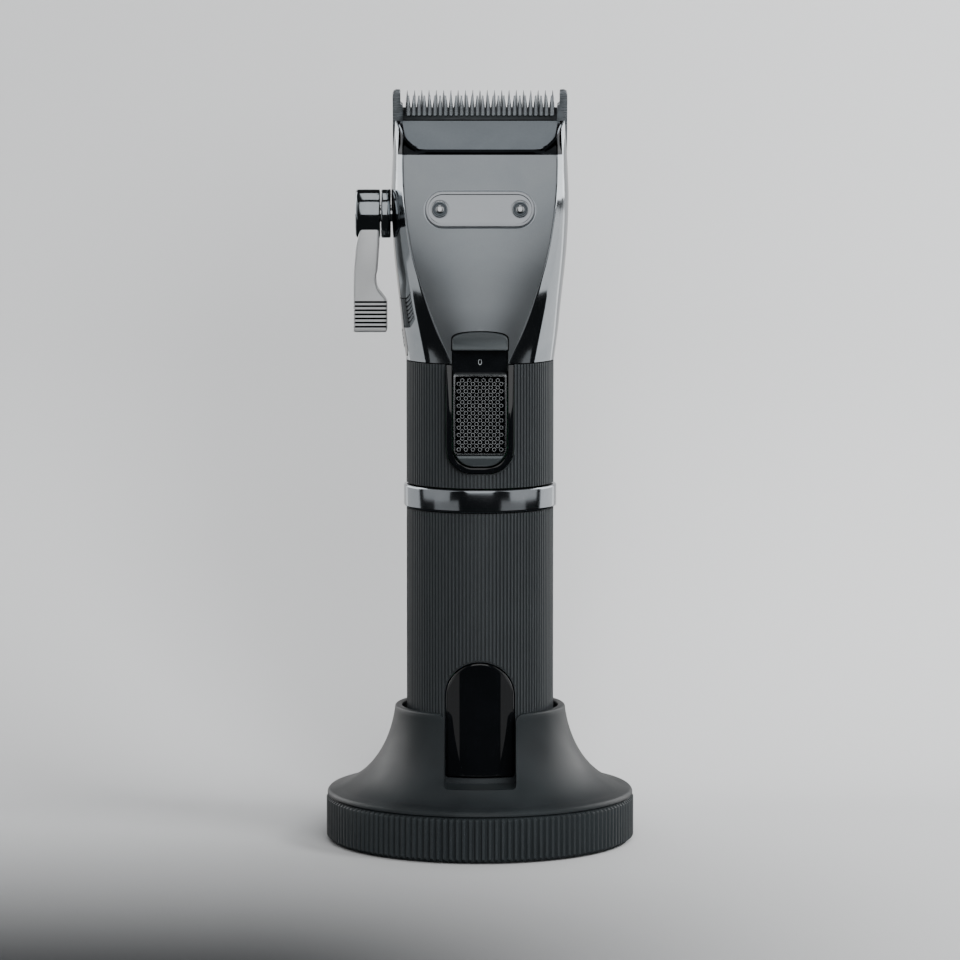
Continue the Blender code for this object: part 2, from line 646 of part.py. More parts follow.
def build_grip(frame, finishes):
    cap_outline = [
        (0, CLIPPER_BOTTOM),
        (GRIP_RADIUS - GAP, CLIPPER_BOTTOM),
        (GRIP_RADIUS - GAP, CLIPPER_BOTTOM + END_CAP_FLANGE),
        (GRIP_BORE - GAP, CLIPPER_BOTTOM + END_CAP_FLANGE),
        (GRIP_BORE - GAP, LOWER_GRIP_LOW + END_CAP_PLUG),
        (0, LOWER_GRIP_LOW + END_CAP_PLUG),
    ]
    cap = piece("end_cap", turned(cap_outline, MEDIUM_ROUND), finishes["soft_black"], frame)
    for side, x in (("left", -PIN_SPACING / 2), ("right", PIN_SPACING / 2)):
        top = LOWER_GRIP_LOW + END_CAP_PLUG
        hole = disc(CONTACT_RADIUS + GAP, CLIPPER_BOTTOM - MM, top + MM, SMALL_ROUND, (x, 0))
        combine(cap, cutter(f"contact_hole_{side}", hole))
        contact = disc(CONTACT_RADIUS, CLIPPER_BOTTOM + GAP, top, SMALL_ROUND, (x, 0))
        piece(f"contact_{side}", contact, finishes["brass"], frame)

    lower_top = LOWER_GRIP_LOW + LOWER_GRIP_LENGTH
    sleeve = tube(GRIP_RADIUS, GRIP_BORE, LOWER_GRIP_LOW, lower_top, MEDIUM_ROUND)
    lower = piece("lower_grip", sleeve, finishes["soft_black"], frame)
    opening = prism(display_outline(GAP), -2 * GRIP_RADIUS, -GRIP_RADIUS / 3, front_view)
    combine(lower, cutter("display_opening", opening))
    sill = CLIPPER_BOTTOM + DISPLAY_SILL
    lens_shape = tube(
        GRIP_RADIUS + DISPLAY_PROUD, GRIP_BORE, sill - MM, sill + DISPLAY_HEIGHT + MM, LARGE_ROUND
    )
    lens = piece("display_window", lens_shape, finishes["gloss_black"], frame)
    arch = prism(display_outline(0), -2 * GRIP_RADIUS, -GRIP_RADIUS / 3, front_view)
    combine(lens, cutter("display_arch", arch), "INTERSECT")
    half = DISPLAY_BOARD_WIDTH / 2
    front = -math.sqrt(GRIP_BORE**2 - (half + MM) ** 2) + GAP
    board_top = sill + DISPLAY_HEIGHT - DISPLAY_BOARD_HIGH
    board = box(
        (-half, front, sill + DISPLAY_BOARD_LOW), (half, front + BOARD_THICKNESS, board_top)
    )
    piece("display_board", board, finishes["board"], frame)

    top = RING_LOW + RING_HEIGHT
    radius = GRIP_RADIUS + RING_PROUD
    ring_outline = [
        (GRIP_BORE, RING_LOW),
        (radius - RING_FILLET, RING_LOW),
        (radius, RING_LOW + RING_FILLET),
        (radius, top - RING_FILLET),
        (radius - RING_FILLET, top),
        (GRIP_BORE, top),
    ]
    piece("trim_ring", turned(ring_outline, LARGE_ROUND), finishes["dark_chrome"], frame)

    sleeve = tube(GRIP_RADIUS, GRIP_BORE, UPPER_GRIP_LOW, UPPER_GRIP_TOP, MEDIUM_ROUND)
    upper = piece("upper_grip", sleeve, finishes["soft_black"], frame)
    low = UPPER_GRIP_LOW + BEZEL_LOW
    window = bezel_outline(BEZEL_HALF + GAP, low - GAP, UPPER_GRIP_TOP + MM)
    combine(upper, cutter("switch_opening", prism(window, -2 * GRIP_RADIUS, 0, front_view)))


def display_outline(margin):
    half = DISPLAY_WIDTH / 2 + margin
    low = CLIPPER_BOTTOM + DISPLAY_SILL - margin
    high = CLIPPER_BOTTOM + DISPLAY_SILL + DISPLAY_HEIGHT + margin
    return rounded(-half, half, low, high, MM, half, 8)


def bezel_outline(half, low, high):
    """A U, open at the top, whose round bottom leaves a little flat."""
    return rounded(-half, half, low, high, half * BEZEL_ROUNDNESS, SHARP_CORNER, 6)


def moon_outline(half, low, high):
    """The low end of the same U, cut off level."""
    radius = half * BEZEL_ROUNDNESS
    end = math.degrees(math.asin(max(-1, min(1, (high - low - radius) / radius))))
    right = arc((half - radius, low + radius), radius, -90, end, 6)
    return right + [(-x, z) for x, z in reversed(right)]


# Inside the grip


def build_inside(frame, finishes):
    shell = tube(CHASSIS_RADIUS, CHASSIS_RADIUS - CHASSIS_WALL, CHASSIS_LOW, CHASSIS_TOP, 40)
    chassis = piece("chassis", shell, finishes["grey_plastic"], frame)
    front_half = box(
        (-GRIP_RADIUS, -GRIP_RADIUS, CHASSIS_LOW - MM), (GRIP_RADIUS, MM, CHASSIS_TOP + MM)
    )
    combine(chassis, cutter("chassis_front", front_half))
    battery_low = CHASSIS_LOW + BATTERY_LIFT
    cell = disc(BATTERY_RADIUS, battery_low, battery_low + BATTERY_LENGTH, 32, (0, BATTERY_Y))
    piece("battery_cell", cell, finishes["battery_wrap"], frame)
    half = MAIN_BOARD_WIDTH / 2
    board_top = CHASSIS_TOP - MAIN_BOARD_DROP
    board = box(
        (-half, MAIN_BOARD_Y, board_top - MAIN_BOARD_LENGTH),
        (half, MAIN_BOARD_Y + BOARD_THICKNESS, board_top),
    )
    piece("main_board", board, finishes["board"], frame)
    micro_back = MAIN_BOARD_Y - GAP
    micro_front = TRACK_FLOOR_Y + TRACK_THICKNESS + GAP
    middle = PLATE_LOW + PLATE_HEIGHT / 3
    half, tall = MICRO_SWITCH_HALF_WIDTH, MICRO_SWITCH_HALF_HEIGHT
    micro = box((-half, micro_front, middle - tall), (half, micro_back, middle + tall))
    piece("micro_switch", micro, finishes["gloss_black"], frame)
    build_motor(frame, finishes)


def build_motor(frame, finishes):
    wall = MOTOR_RADIUS + GAP + CRADLE_WALL
    floor_top = CRADLE_LOW + CRADLE_WALL
    flange = CHASSIS_RADIUS - CRADLE_FLANGE_INSET
    outline = [
        (CRADLE_BORE_RADIUS, CRADLE_LOW),
        (flange, CRADLE_LOW),
        (flange, floor_top),
        (wall, floor_top),
        (wall, CRADLE_LOW + CRADLE_HEIGHT),
        (MOTOR_RADIUS + GAP, CRADLE_LOW + CRADLE_HEIGHT),
        (MOTOR_RADIUS + GAP, floor_top),
        (CRADLE_BORE_RADIUS, floor_top),
    ]
    cradle = piece("motor_cradle", turned(outline, 40), finishes["grey_plastic"], frame)
    switch_room = box(
        (-GRIP_RADIUS, -GRIP_RADIUS, CRADLE_LOW - MM), (GRIP_RADIUS, -wall - GAP, floor_top + MM)
    )
    combine(cradle, cutter("switch_room", switch_room))
    bore = MOTOR_SHAFT_RADIUS + GAP
    boss_top = MOTOR_TOP + MOTOR_BOSS_HEIGHT
    can = [
        (0, MOTOR_LOW),
        (MOTOR_RADIUS, MOTOR_LOW),
        (MOTOR_RADIUS, MOTOR_TOP),
        (MOTOR_BOSS_RADIUS, MOTOR_TOP),
        (MOTOR_BOSS_RADIUS, boss_top),
        (bore, boss_top),
        (bore, MOTOR_TOP - MOTOR_LENGTH / 2),
        (0, MOTOR_TOP - MOTOR_LENGTH / 2),
    ]
    piece("motor_can", turned(can, 32), finishes["bright_steel"], frame)


def build_rotor(frame, finishes):
    low = MOTOR_TOP - MOTOR_LENGTH / 2 + GAP
    seat = ECCENTRIC_LOW + ECCENTRIC_HEIGHT - SHAFT_SEAT_DROP
    shaft = disc(MOTOR_SHAFT_RADIUS, low, seat - GAP, SMALL_ROUND)
    piece("motor_shaft", shaft, finishes["bright_steel"], frame)
    bore = MOTOR_SHAFT_RADIUS + GAP
    top = ECCENTRIC_LOW + ECCENTRIC_HEIGHT
    outline = [
        (bore, ECCENTRIC_LOW),
        (ECCENTRIC_RADIUS, ECCENTRIC_LOW),
        (ECCENTRIC_RADIUS, top),
        (0, top),
        (0, seat),
        (bore, seat),
    ]
    cam = piece("eccentric_cam", turned(outline, 24), finishes["grey_plastic"], frame)
    crank = disc(CRANK_PIN_RADIUS, top - CRANK_PIN_ROOT, CRANK_PIN_TOP, 12, (CRANK_OFFSET, 0))
    combine(cam, cutter("crank_pin", crank), "UNION")


# Head casing


def head_section(station, wall, lift=0.0, back_off=0.0):
    """One level of the casing as a loop of points, moved in by the wall."""
    share, wide, panel, chamfer, front, edge, bend, back = station
    z = HEAD_BASE + share * HEAD_LENGTH - lift
    wide, panel, chamfer, front, edge, bend, back = (
        value * MM for value in (wide, panel, chamfer, front, edge, bend, back)
    )
    across = (wide - wall) / wide
    ahead = (front - wall - back_off) / front if front > NOSE_THICKNESS else 1
    behind = (back - wall) / back
    nose_step = 0 if front > NOSE_THICKNESS else back_off
    side = [
        (panel / 2 * across, -(front - (front - edge) / 4) * ahead + nose_step),
        (panel * across, -edge * ahead + nose_step),
        (chamfer * across, -bend * ahead + nose_step),
        ((chamfer + 0.66 * (wide - chamfer)) * across, -0.6 * bend * ahead + nose_step),
    ]
    power = 1 - 0.25 * share
    for step in range(4):
        angle = math.pi / 2 * step / 4
        x = wide * across * math.cos(angle) ** power
        side.append((x, max(nose_step, back * behind * math.sin(angle) ** power)))
    loop = [(0, -front * ahead + nose_step)] + side + [(0, back * behind)]
    loop += [(-x, y) for x, y in reversed(side)]
    return [(x, y, z) for x, y in loop]


def loft(sections):
    shape = bmesh.new()
    rings = [[shape.verts.new(point) for point in section] for section in sections]
    count = len(rings[0])
    for ring, above in zip(rings, rings[1:]):
        for i in range(count):
            after = (i + 1) % count
            shape.faces.new((ring[i], ring[after], above[after], above[i]))
    shape.faces.new(rings[0])
    shape.faces.new(rings[-1])
    bmesh.ops.triangulate(shape, faces=shape.faces)  # the sides aren't quite flat
    return shape


def between(low, high, share):
    return tuple(a + (b - a) * share for a, b in zip(low, high))


def head_levels():
    """The stations, with one more halfway up each of the tall stretches."""
    levels = []
    for low, high in zip(HEAD_STATIONS, HEAD_STATIONS[1:]):
        levels.append(low)
        if high[0] - low[0] > 0.13:
            levels.append(between(low, high, 0.5))
    return levels + [HEAD_STATIONS[-1]]


def head_outside():
    sections = [head_section(level, 0) for level in head_levels()]
    return loft(sections)


def head_inside():
    levels = head_levels()
    below = head_section(levels[0], HEAD_WALL, lift=MM)
    body = [head_section(level, HEAD_WALL) for level in levels[:-NOSE_STATIONS]]
    nose = [
        head_section(level, HEAD_WALL, lift=NOSE_DROP, back_off=back_off)
        for level, back_off in zip(levels[-NOSE_STATIONS:], NOSE_SHIFTS)
    ]
    return loft([below] + body + nose)


def head_front_y(z):
    """The panel's middle at a height."""
    share = (z - HEAD_BASE) / HEAD_LENGTH
    for low, high in zip(HEAD_STATIONS, HEAD_STATIONS[1:]):
        if share <= high[0]:
            part = (share - low[0]) / (high[0] - low[0])
            return -(low[4] + (high[4] - low[4]) * part) * MM
    return -HEAD_STATIONS[-1][4] * MM


def head_half_width(z):
    share = (z - HEAD_BASE) / HEAD_LENGTH
    for low, high in zip(HEAD_STATIONS, HEAD_STATIONS[1:]):
        if share <= high[0]:
            part = (share - low[0]) / (high[0] - low[0])
            return (low[1] + (high[1] - low[1]) * part) * MM
    return HEAD_STATIONS[-1][1] * MM


def track_outline(margin):
    half = TRACK_HALF_DEPTH + margin
    low = HEAD_BASE + TRACK_LOW - margin
    high = HEAD_BASE + TRACK_HIGH + margin
    return rounded(-half, half, low, high, TRACK_CORNER, half * 0.95, 4)


def bridge_outline(margin):
    half = PLATE_WIDTH / 2 + BRIDGE_LAP + margin
    low, high = BRIDGE_LOW - margin, BRIDGE_TOP + margin
    return rounded(-half, half, low, high, 2 * SHARP_CORNER, BRIDGE_CORNER, 5)


def badge_turn():
    """Turns a view straight on into one that lies along the leaning panel, at the badge."""
    z = HEAD_BASE + BADGE_PLACE * HEAD_LENGTH
    low, high = head_front_y(z - BADGE_HEIGHT / 2), head_front_y(z + BADGE_HEIGHT / 2)
    lean = math.atan2(high - low, BADGE_HEIGHT)
    middle = Vector((0, head_front_y(z), z))
    return Matrix.Translation(middle) @ Matrix.Rotation(-lean, 4, "X")


def build_head(frame, finishes):
    pocket_end = COMB_LENGTH + COMB_TRAVEL + 0.4 * MM
    pocket_outline = [
        blade_place(-10 * MM, POCKET_FRONT),
        blade_place(pocket_end, POCKET_FRONT),
        blade_place(pocket_end, -12 * MM),
        blade_place(-10 * MM, -12 * MM),
    ]
    wide = COMB_WIDTH
    pocket = cutter("blade_pocket", prism(pocket_outline, -wide, wide, side_view))
    hollow = cutter("head_hollow", head_inside())
    window = cutter("track_window", prism(track_outline(GAP), -2 * wide, -wide / 4, side_view))
    below_bridge = prism(bridge_outline(GAP), -2 * GRIP_RADIUS, -GRIP_RADIUS / 2, front_view)
    bridge_cut = cutter("bridge_cut", below_bridge)
    slot_half = PLATE_WIDTH / 2 + GAP
    slot = box((-slot_half, -2 * GRIP_RADIUS, HEAD_BASE - MM), (slot_half, -GRIP_RADIUS / 2, BRIDGE_LOW))
    slot_cut = cutter("slot_cut", slot)
    turn = badge_turn()
    recess = prism(badge_outline(GAP), -5 * MM, BADGE_RECESS, front_view)
    recess.transform(turn)
    badge_cut = cutter("badge_recess", recess)
    front_room = box((-wide, SEAM_Y - GAP / 2, HEAD_BASE - MM), (wide, wide, BLADE_TIP_Z))
    back_room = box((-wide, -wide, HEAD_BASE - MM), (wide, SEAM_Y + GAP / 2, BLADE_TIP_Z))
    parts = (
        ("head_front", cutter("behind_seam", front_room), finishes["gunmetal"]),
        ("head_back", cutter("before_seam", back_room), finishes["dark_chrome"]),
    )
    for name, other_side, material in parts:
        casing = piece(name, head_outside(), material, frame)
        for cut in (hollow, pocket, window, other_side):
            combine(casing, cut)
        if name == "head_front":
            for cut in (slot_cut, bridge_cut, badge_cut):
                combine(casing, cut)

    inlay = piece("lever_track", head_outside(), finishes["soft_black"], frame)
    combine(inlay, hollow)
    keep = cutter("track_keep", prism(track_outline(0), -2 * wide, -wide / 4, side_view))
    combine(inlay, keep, "INTERSECT")
    hole = rod((-2 * wide, 0, LEVER_Z), (0, 0, LEVER_Z), LEVER_SHAFT_RADIUS + GAP, SMALL_ROUND)
    combine(inlay, cutter("lever_hole", hole))

    build_badge(frame, finishes, turn)
    build_switch_housing(frame, finishes)


def badge_outline(margin):
    half_width = BADGE_WIDTH / 2 + margin
    half_height = BADGE_HEIGHT / 2 + margin
    return rounded(-half_width, half_width, -half_height, half_height, half_height, half_height, 6)


def build_badge(frame, finishes, turn):
    back = BADGE_RECESS - GAP
    shape = prism(badge_outline(0), back - BADGE_THICKNESS, back, front_view)
    shape.transform(turn)
    plate = piece("badge_plate", shape, finishes["badge_metal"], frame)
    front = back - BADGE_THICKNESS
    for side, x in (("left", -BADGE_SCREW_SPACING / 2), ("right", BADGE_SCREW_SPACING / 2)):
        hole = rod((x, front - MM, 0), (x, back - GAP, 0), BADGE_SCREW_RADIUS + GAP, SMALL_ROUND)
        hole.transform(turn)
        combine(plate, cutter(f"badge_hole_{side}", hole))
        screw = rod((x, front, 0), (x, back - 2 * GAP, 0), BADGE_SCREW_RADIUS, SMALL_ROUND)
        screw.transform(turn)
        piece(f"badge_screw_{side}", screw, finishes["bright_steel"], frame)


def build_switch_housing(frame, finishes):
    low = UPPER_GRIP_LOW + BEZEL_LOW
    outer = bezel_outline(BEZEL_HALF, low, UPPER_GRIP_TOP)
    front = -GRIP_RADIUS - BEZEL_PROUD
    shape = prism(outer, front, front + BEZEL_DEPTH, front_view)
    bezel = piece("switch_bezel", shape, finishes["gloss_black"], frame)
    inner = bezel_outline(BEZEL_HALF - BEZEL_WALL, low + BEZEL_WALL, UPPER_GRIP_TOP + MM)
    combine(bezel, cutter("bezel_opening", prism(inner, front - MM, front + BEZEL_DEPTH + MM, front_view)))
    floor = bezel_outline(PLATE_WIDTH / 2, low + BEZEL_WALL + GAP, BRIDGE_LOW + MM)
    shape = prism(floor, TRACK_FLOOR_Y, TRACK_FLOOR_Y + TRACK_THICKNESS, front_view)
    piece("switch_track", shape, finishes["gloss_black"], frame)
    bridge_back = TRACK_FLOOR_Y - GAP
    shape = prism(bridge_outline(0), -GRIP_RADIUS - BRIDGE_PROUD, bridge_back, front_view)
    piece("switch_bridge", shape, finishes["grey_plastic"], frame)


# Power switch


def build_switch(frame, finishes):
    half = PLATE_WIDTH / 2 - SLIDER_SIDE_GAP
    low = UPPER_GRIP_LOW + BEZEL_LOW + BEZEL_WALL + GAP
    top = PLATE_LOW + PLATE_HEIGHT
    outline = bezel_outline(half, low, top)
    shape = prism(outline, SLIDER_Y - SLIDER_THICKNESS, SLIDER_Y, front_view)
    slider = piece("switch_slider", shape, finishes["grey_plastic"], frame)
    tail = moon_outline(half - TAIL_STEP, low + TAIL_STEP, PLATE_LOW - GAP)
    tail_shape = prism(tail, PLATE_Y - PLATE_THICKNESS, SLIDER_Y - TAIL_ROOT, front_view)
    combine(slider, cutter("slider_tail", tail_shape), "UNION")
    outline = rounded(-half, half, PLATE_LOW, top, PLATE_LOW_CORNER, PLATE_HIGH_CORNER, 3)
    shape = prism(outline, PLATE_Y - PLATE_THICKNESS, PLATE_Y, front_view)
    piece("switch_plate", shape, finishes["bright_steel"], frame)


# Taper lever


def lever_side():
    """The casing's left side at the lever, and the collar and hub outside it."""
    collar_in = -head_half_width(LEVER_Z) - GAP
    collar_out = collar_in - COLLAR_LENGTH
    hub_in = collar_out - GAP
    return collar_in, collar_out, hub_in, hub_in - HUB_LENGTH


def build_lever_collar(frame, finishes):
    collar_in, collar_out, _, _ = lever_side()
    shape = rod((collar_out, 0, LEVER_Z), (collar_in, 0, LEVER_Z), HUB_RADIUS, 32)
    collar = piece("lever_collar", shape, finishes["dark_chrome"], frame)
    bore = rod((collar_out - MM, 0, LEVER_Z), (collar_in + MM, 0, LEVER_Z),
               LEVER_SHAFT_RADIUS + GAP, SMALL_ROUND)
    combine(collar, cutter("collar_bore", bore))


def build_lever(frame, finishes):
    _, _, hub_in, hub_out = lever_side()
    hub = rod((hub_out, 0, LEVER_Z), (hub_in, 0, LEVER_Z), HUB_RADIUS, 32)
    lever = piece("taper_lever", hub, finishes["satin_silver"], frame)
    low = LEVER_Z - ARM_LENGTH
    out = hub_out - ARM_PROUD
    root_high, root_low = ARM_ROOT_INSETS
    tab_in = out + TAB_THICKNESS
    arm_in = out + ARM_THICKNESS
    tab_top = low + TAB_LENGTH
    outline = [
        (hub_out + root_high, LEVER_Z - HUB_RADIUS / 3),
        (hub_out + root_low, LEVER_Z - HUB_RADIUS),
        (out, LEVER_Z - 0.58 * ARM_LENGTH),
        (out, low),
        (tab_in, low),
        (tab_in, tab_top),
        (arm_in, tab_top + TAB_SLOPE),
        (arm_in + ARM_WAIST, LEVER_Z - 1.5 * HUB_RADIUS),
        (hub_in - root_low, LEVER_Z - HUB_RADIUS / 2),
        (hub_in - root_low, LEVER_Z - HUB_RADIUS / 3),
    ]
    arm = prism(outline, -ARM_DEPTH / 2, ARM_DEPTH / 2, front_view)
    combine(lever, cutter("lever_arm", arm), "UNION")
    seat_end = hub_out + SHAFT_SEAT_WALL
    seat = rod((hub_in + MM, 0, LEVER_Z), (seat_end, 0, LEVER_Z), LEVER_SHAFT_RADIUS + GAP, SMALL_ROUND)
    combine(lever, cutter("shaft_seat", seat))
    screw_radius = HUB_RADIUS * 0.45
    recess_end = hub_out + LEVER_SCREW_DEPTH
    recess = rod((hub_out - MM, 0, LEVER_Z), (recess_end, 0, LEVER_Z), screw_radius + GAP, 20)
    combine(lever, cutter("screw_recess", recess))
    screw_out = hub_out + LEVER_SCREW_INSET
    screw = rod((screw_out, 0, LEVER_Z), (recess_end - GAP, 0, LEVER_Z), screw_radius, 20)
    piece("lever_screw", screw, finishes["bright_steel"], frame)
    shaft_end = -LEVER_SHAFT_REACH
    shaft = rod((seat_end + GAP, 0, LEVER_Z), (shaft_end, 0, LEVER_Z), LEVER_SHAFT_RADIUS, SMALL_ROUND)
    spindle = piece("lever_shaft", shaft, finishes["bright_steel"], frame)
    pin_end = shaft_end + CAM_PIN_LENGTH
    pin_start = shaft_end - CAM_PIN_ROOT
    pin = rod((pin_start, -CAM_OFFSET, LEVER_Z), (pin_end, -CAM_OFFSET, LEVER_Z), CAM_PIN_RADIUS, 12)
    combine(spindle, cutter("cam_pin", pin), "UNION")


# Blades


def toothed_outline(half, teeth, pitch, tooth_length, top, length, end_top, tip_width, root_width):
    """A blade's outline in (x, down) points, with pointed teeth between two plain ends."""
    root = top + tooth_length
    first = -(teeth - 1) / 2 * pitch
    points = [(-half, top + length), (-half, end_top), (first - pitch + root_width / 2, end_top)]
    points.append((first - pitch + root_width / 2, root))
    for number in range(teeth):
        x = first + number * pitch
        points.append((x - root_width / 2, root))
        points.append((x - tip_width / 2, top))
        points.append((x + tip_width / 2, top))
        points.append((x + root_width / 2, root))
    last = first + teeth * pitch - root_width / 2
    return points + [(last, root), (last, end_top), (half, end_top), (half, top + length)]


def build_comb(frame, finishes):
    outline = toothed_outline(
        COMB_WIDTH / 2, COMB_TEETH, COMB_PITCH, COMB_TOOTH_LENGTH, 0, COMB_LENGTH,
        COMB_HEEL_DROP, COMB_TIP_WIDTH, TOOTH_ROOT_WIDTH,
    )
    comb = piece("comb_blade", prism(outline, -COMB_THICKNESS, 0, blade_view), finishes["blade_steel"], frame)
    bevel_outline = [
        blade_place(-MM, -COMB_TIP_THICKNESS),
        blade_place(COMB_TOOTH_LENGTH + BEVEL_RUN, -COMB_THICKNESS - CUT_PAST),
        blade_place(-MM, -COMB_THICKNESS - MM),
    ]
    bevel = prism(bevel_outline, -COMB_WIDTH, COMB_WIDTH, side_view)
    combine(comb, cutter("comb_bevel", bevel))

    plate_outline = rectangle(-CARRIER_WIDTH / 2, CARRIER_WIDTH / 2, CARRIER_TOP, COMB_LENGTH)
    front = GAP + CARRIER_THICKNESS
    carrier = piece("blade_carrier", prism(plate_outline, GAP, front, blade_view),
                    finishes["bright_steel"], frame)
    tab_right = -LEVER_SHAFT_REACH + CARRIER_TAB_SPAN[1]
    tab_left = -LEVER_SHAFT_REACH + CARRIER_TAB_SPAN[0]
    reach = CAM_OFFSET + CAM_PIN_RADIUS + CARRIER_TAB_REACH
    tab_low, tab_high = LEVER_Z - CARRIER_TAB_HALF, LEVER_Z + CARRIER_TAB_HALF
    tab_outline = [
        (-reach, tab_low),
        (CARRIER_TAB_BACK, tab_low),
        blade_place(COMB_LENGTH - MM / 2, front - MM),
        blade_place(CARRIER_TOP + CARRIER_TAB_RUN, front - MM),
        (CARRIER_TAB_HALF, tab_high),
        (-reach, tab_high),
    ]
    tab = prism(tab_outline, tab_left, tab_right, side_view)
    combine(carrier, cutter("carrier_tab", tab), "UNION")
    slot_half = CAM_PIN_RADIUS + 2 * GAP
    slot_outline = rectangle(-reach - MM, GAP, LEVER_Z - slot_half, LEVER_Z + slot_half)
    slot = prism(slot_outline, tab_left - MM, tab_right + MM, side_view)
    combine(carrier, cutter("cam_slot", slot))

    for side, x in (("left", -BLADE_SCREW_SPACING / 2), ("right", BLADE_SCREW_SPACING / 2)):
        through = (
            blade_view(x, BLADE_SCREW_PLACE, -COMB_THICKNESS - MM),
            blade_view(x, BLADE_SCREW_PLACE, front),
        )
        hole = cutter(f"blade_hole_{side}", rod(*through, BLADE_SCREW_RADIUS + GAP, SMALL_ROUND))
        combine(comb, hole)
        combine(carrier, hole)
        shank = rod(
            blade_view(x, BLADE_SCREW_PLACE, -COMB_THICKNESS - MM),
            blade_view(x, BLADE_SCREW_PLACE, front - GAP),
            BLADE_SCREW_RADIUS, SMALL_ROUND,
        )
        screw = piece(f"blade_screw_{side}", shank, finishes["bright_steel"], frame)
        head = rod(
            blade_view(x, BLADE_SCREW_PLACE, -COMB_THICKNESS - GAP - BLADE_SCREW_HEAD),
            blade_view(x, BLADE_SCREW_PLACE, -COMB_THICKNESS - GAP),
            2 * BLADE_SCREW_RADIUS, SMALL_ROUND,
        )
        combine(screw, cutter(f"blade_screw_head_{side}", head), "UNION")


def build_cutter(frame, finishes):
    low, high = GAP, GAP + CUTTER_THICKNESS
    pitch = (CUTTER_WIDTH - MM) / CUTTER_TEETH
    outline = toothed_outline(
        CUTTER_WIDTH / 2, CUTTER_TEETH, pitch, CUTTER_TOOTH_LENGTH, CUTTER_SETBACK, CUTTER_LENGTH,
        CUTTER_SETBACK + CUTTER_TOOTH_LENGTH, CUTTER_TIP_WIDTH, TOOTH_ROOT_WIDTH,
    )
    clean = [point for i, point in enumerate(outline) if i == 0 or point != outline[i - 1]]
    blade = piece("cutter_blade", prism(clean, low, high, blade_view), finishes["blade_steel"], frame)
    bevel_outline = [
        blade_place(0, CUTTER_TIP_THICKNESS),
        blade_place(CUTTER_SETBACK + 2 * CUTTER_TOOTH_LENGTH, high + CUT_PAST),
        blade_place(0, high + MM),
    ]
    bevel = prism(bevel_outline, -CUTTER_WIDTH, CUTTER_WIDTH, side_view)
    combine(blade, cutter("cutter_bevel", bevel))

    front = high + GAP
    half = FORK_GAP + FORK_WALL
    foot = CUTTER_SETBACK + CUTTER_LENGTH
    outline = [
        blade_place(foot - FORK_FOOT, front),
        blade_place(foot, front),
        (FORK_HALF_DEPTH, blade_place(foot, front)[1] - FORK_KNEE),
        (FORK_HALF_DEPTH, FORK_LOW),
        (-FORK_HALF_DEPTH, FORK_LOW),
        (-FORK_HALF_DEPTH, blade_place(foot, front)[1] - FORK_KNEE),
        blade_place(foot - FORK_FOOT, front + FORK_FOOT_THICKNESS),
    ]
    fork = piece("drive_fork", prism(outline, -half, half, side_view), finishes["grey_plastic"], frame)
    slot = box((-FORK_GAP, -BASE_RADIUS, FORK_LOW - MM), (FORK_GAP, BASE_RADIUS, CRANK_PIN_TOP + 2 * GAP))
    combine(fork, cutter("fork_slot", slot))


def build_blade_seats(frame, finishes):
    inner = RAIL_INNER
    outer = head_half_width(HEAD_TOP - 10 * MM) - HEAD_WALL - 2 * GAP
    front = POCKET_FRONT + RAIL_THICKNESS
    top = CUTTER_SETBACK + CUTTER_LENGTH
    end = COMB_LENGTH - RAIL_END
    corner = outer - RAIL_CORNER
    for side, sign in (("left", -1), ("right", 1)):
        corners = ((inner, top), (outer - MM, top), (corner, end), (inner, end))
        outline = [(sign * x, down) for x, down in corners]
        shape = prism(outline, POCKET_FRONT, front, blade_view)
        piece(f"blade_rail_{side}", shape, finishes["grey_plastic"], frame)
    radius = SPRING_RADIUS
    bar = front + GAP + radius
    tip = GAP + CUTTER_THICKNESS + GAP + radius
    across = inner + SPRING_INSET
    low, bend, high = (top + drop for drop in SPRING_DROPS)
    right = [(across, low, bar), (SPRING_ARMS[0], bend, bar), (SPRING_ARMS[1], high, tip)]
    path = [(-x, down, off) for x, down, off in reversed(right)] + right
    curve = bpy.data.curves.new("cutter_spring", "CURVE")
    curve.dimensions = "3D"
    curve.bevel_depth = radius
    curve.bevel_resolution = 2
    curve.use_fill_caps = True
    spline = curve.splines.new("POLY")
    spline.points.add(len(path) - 1)
    for point, place in zip(spline.points, path):
        point.co = (*(Vector(blade_view(*place)) - world_place(frame)), 1)
    curve.materials.append(finishes["bright_steel"])
    spring = bpy.data.objects.new("cutter_spring", curve)
    bpy.context.scene.collection.objects.link(spring)
    spring.parent = frame


def main():
    clear_scene()
    finishes = make_finishes()
    stand = frame_at("stand_frame", (0, 0, 0))
    clipper = frame_at("clipper_frame", (0, 0, CLIPPER_BOTTOM), stand)
    switch = frame_at("switch_frame", (0, PLATE_Y, PLATE_LOW), clipper)
    lever = frame_at("lever_frame", (lever_side()[2], 0, LEVER_Z), clipper)
    comb = frame_at("comb_frame", blade_view(0, 0, 0), clipper)
    blade = frame_at("cutter_frame", blade_view(0, CUTTER_SETBACK, GAP), clipper)
    rotor = frame_at("rotor_frame", (0, 0, MOTOR_TOP), clipper)
    build_stand(stand, finishes)
    build_grip(clipper, finishes)
    build_inside(clipper, finishes)
    build_head(clipper, finishes)
    build_lever_collar(clipper, finishes)
    build_blade_seats(clipper, finishes)
    build_switch(switch, finishes)
    build_lever(lever, finishes)
    build_comb(comb, finishes)
    build_cutter(blade, finishes)
    build_rotor(rotor, finishes)


main()
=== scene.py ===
import math

import bmesh
import bpy
from mathutils import Matrix, Vector
from mathutils.geometry import interpolate_bezier


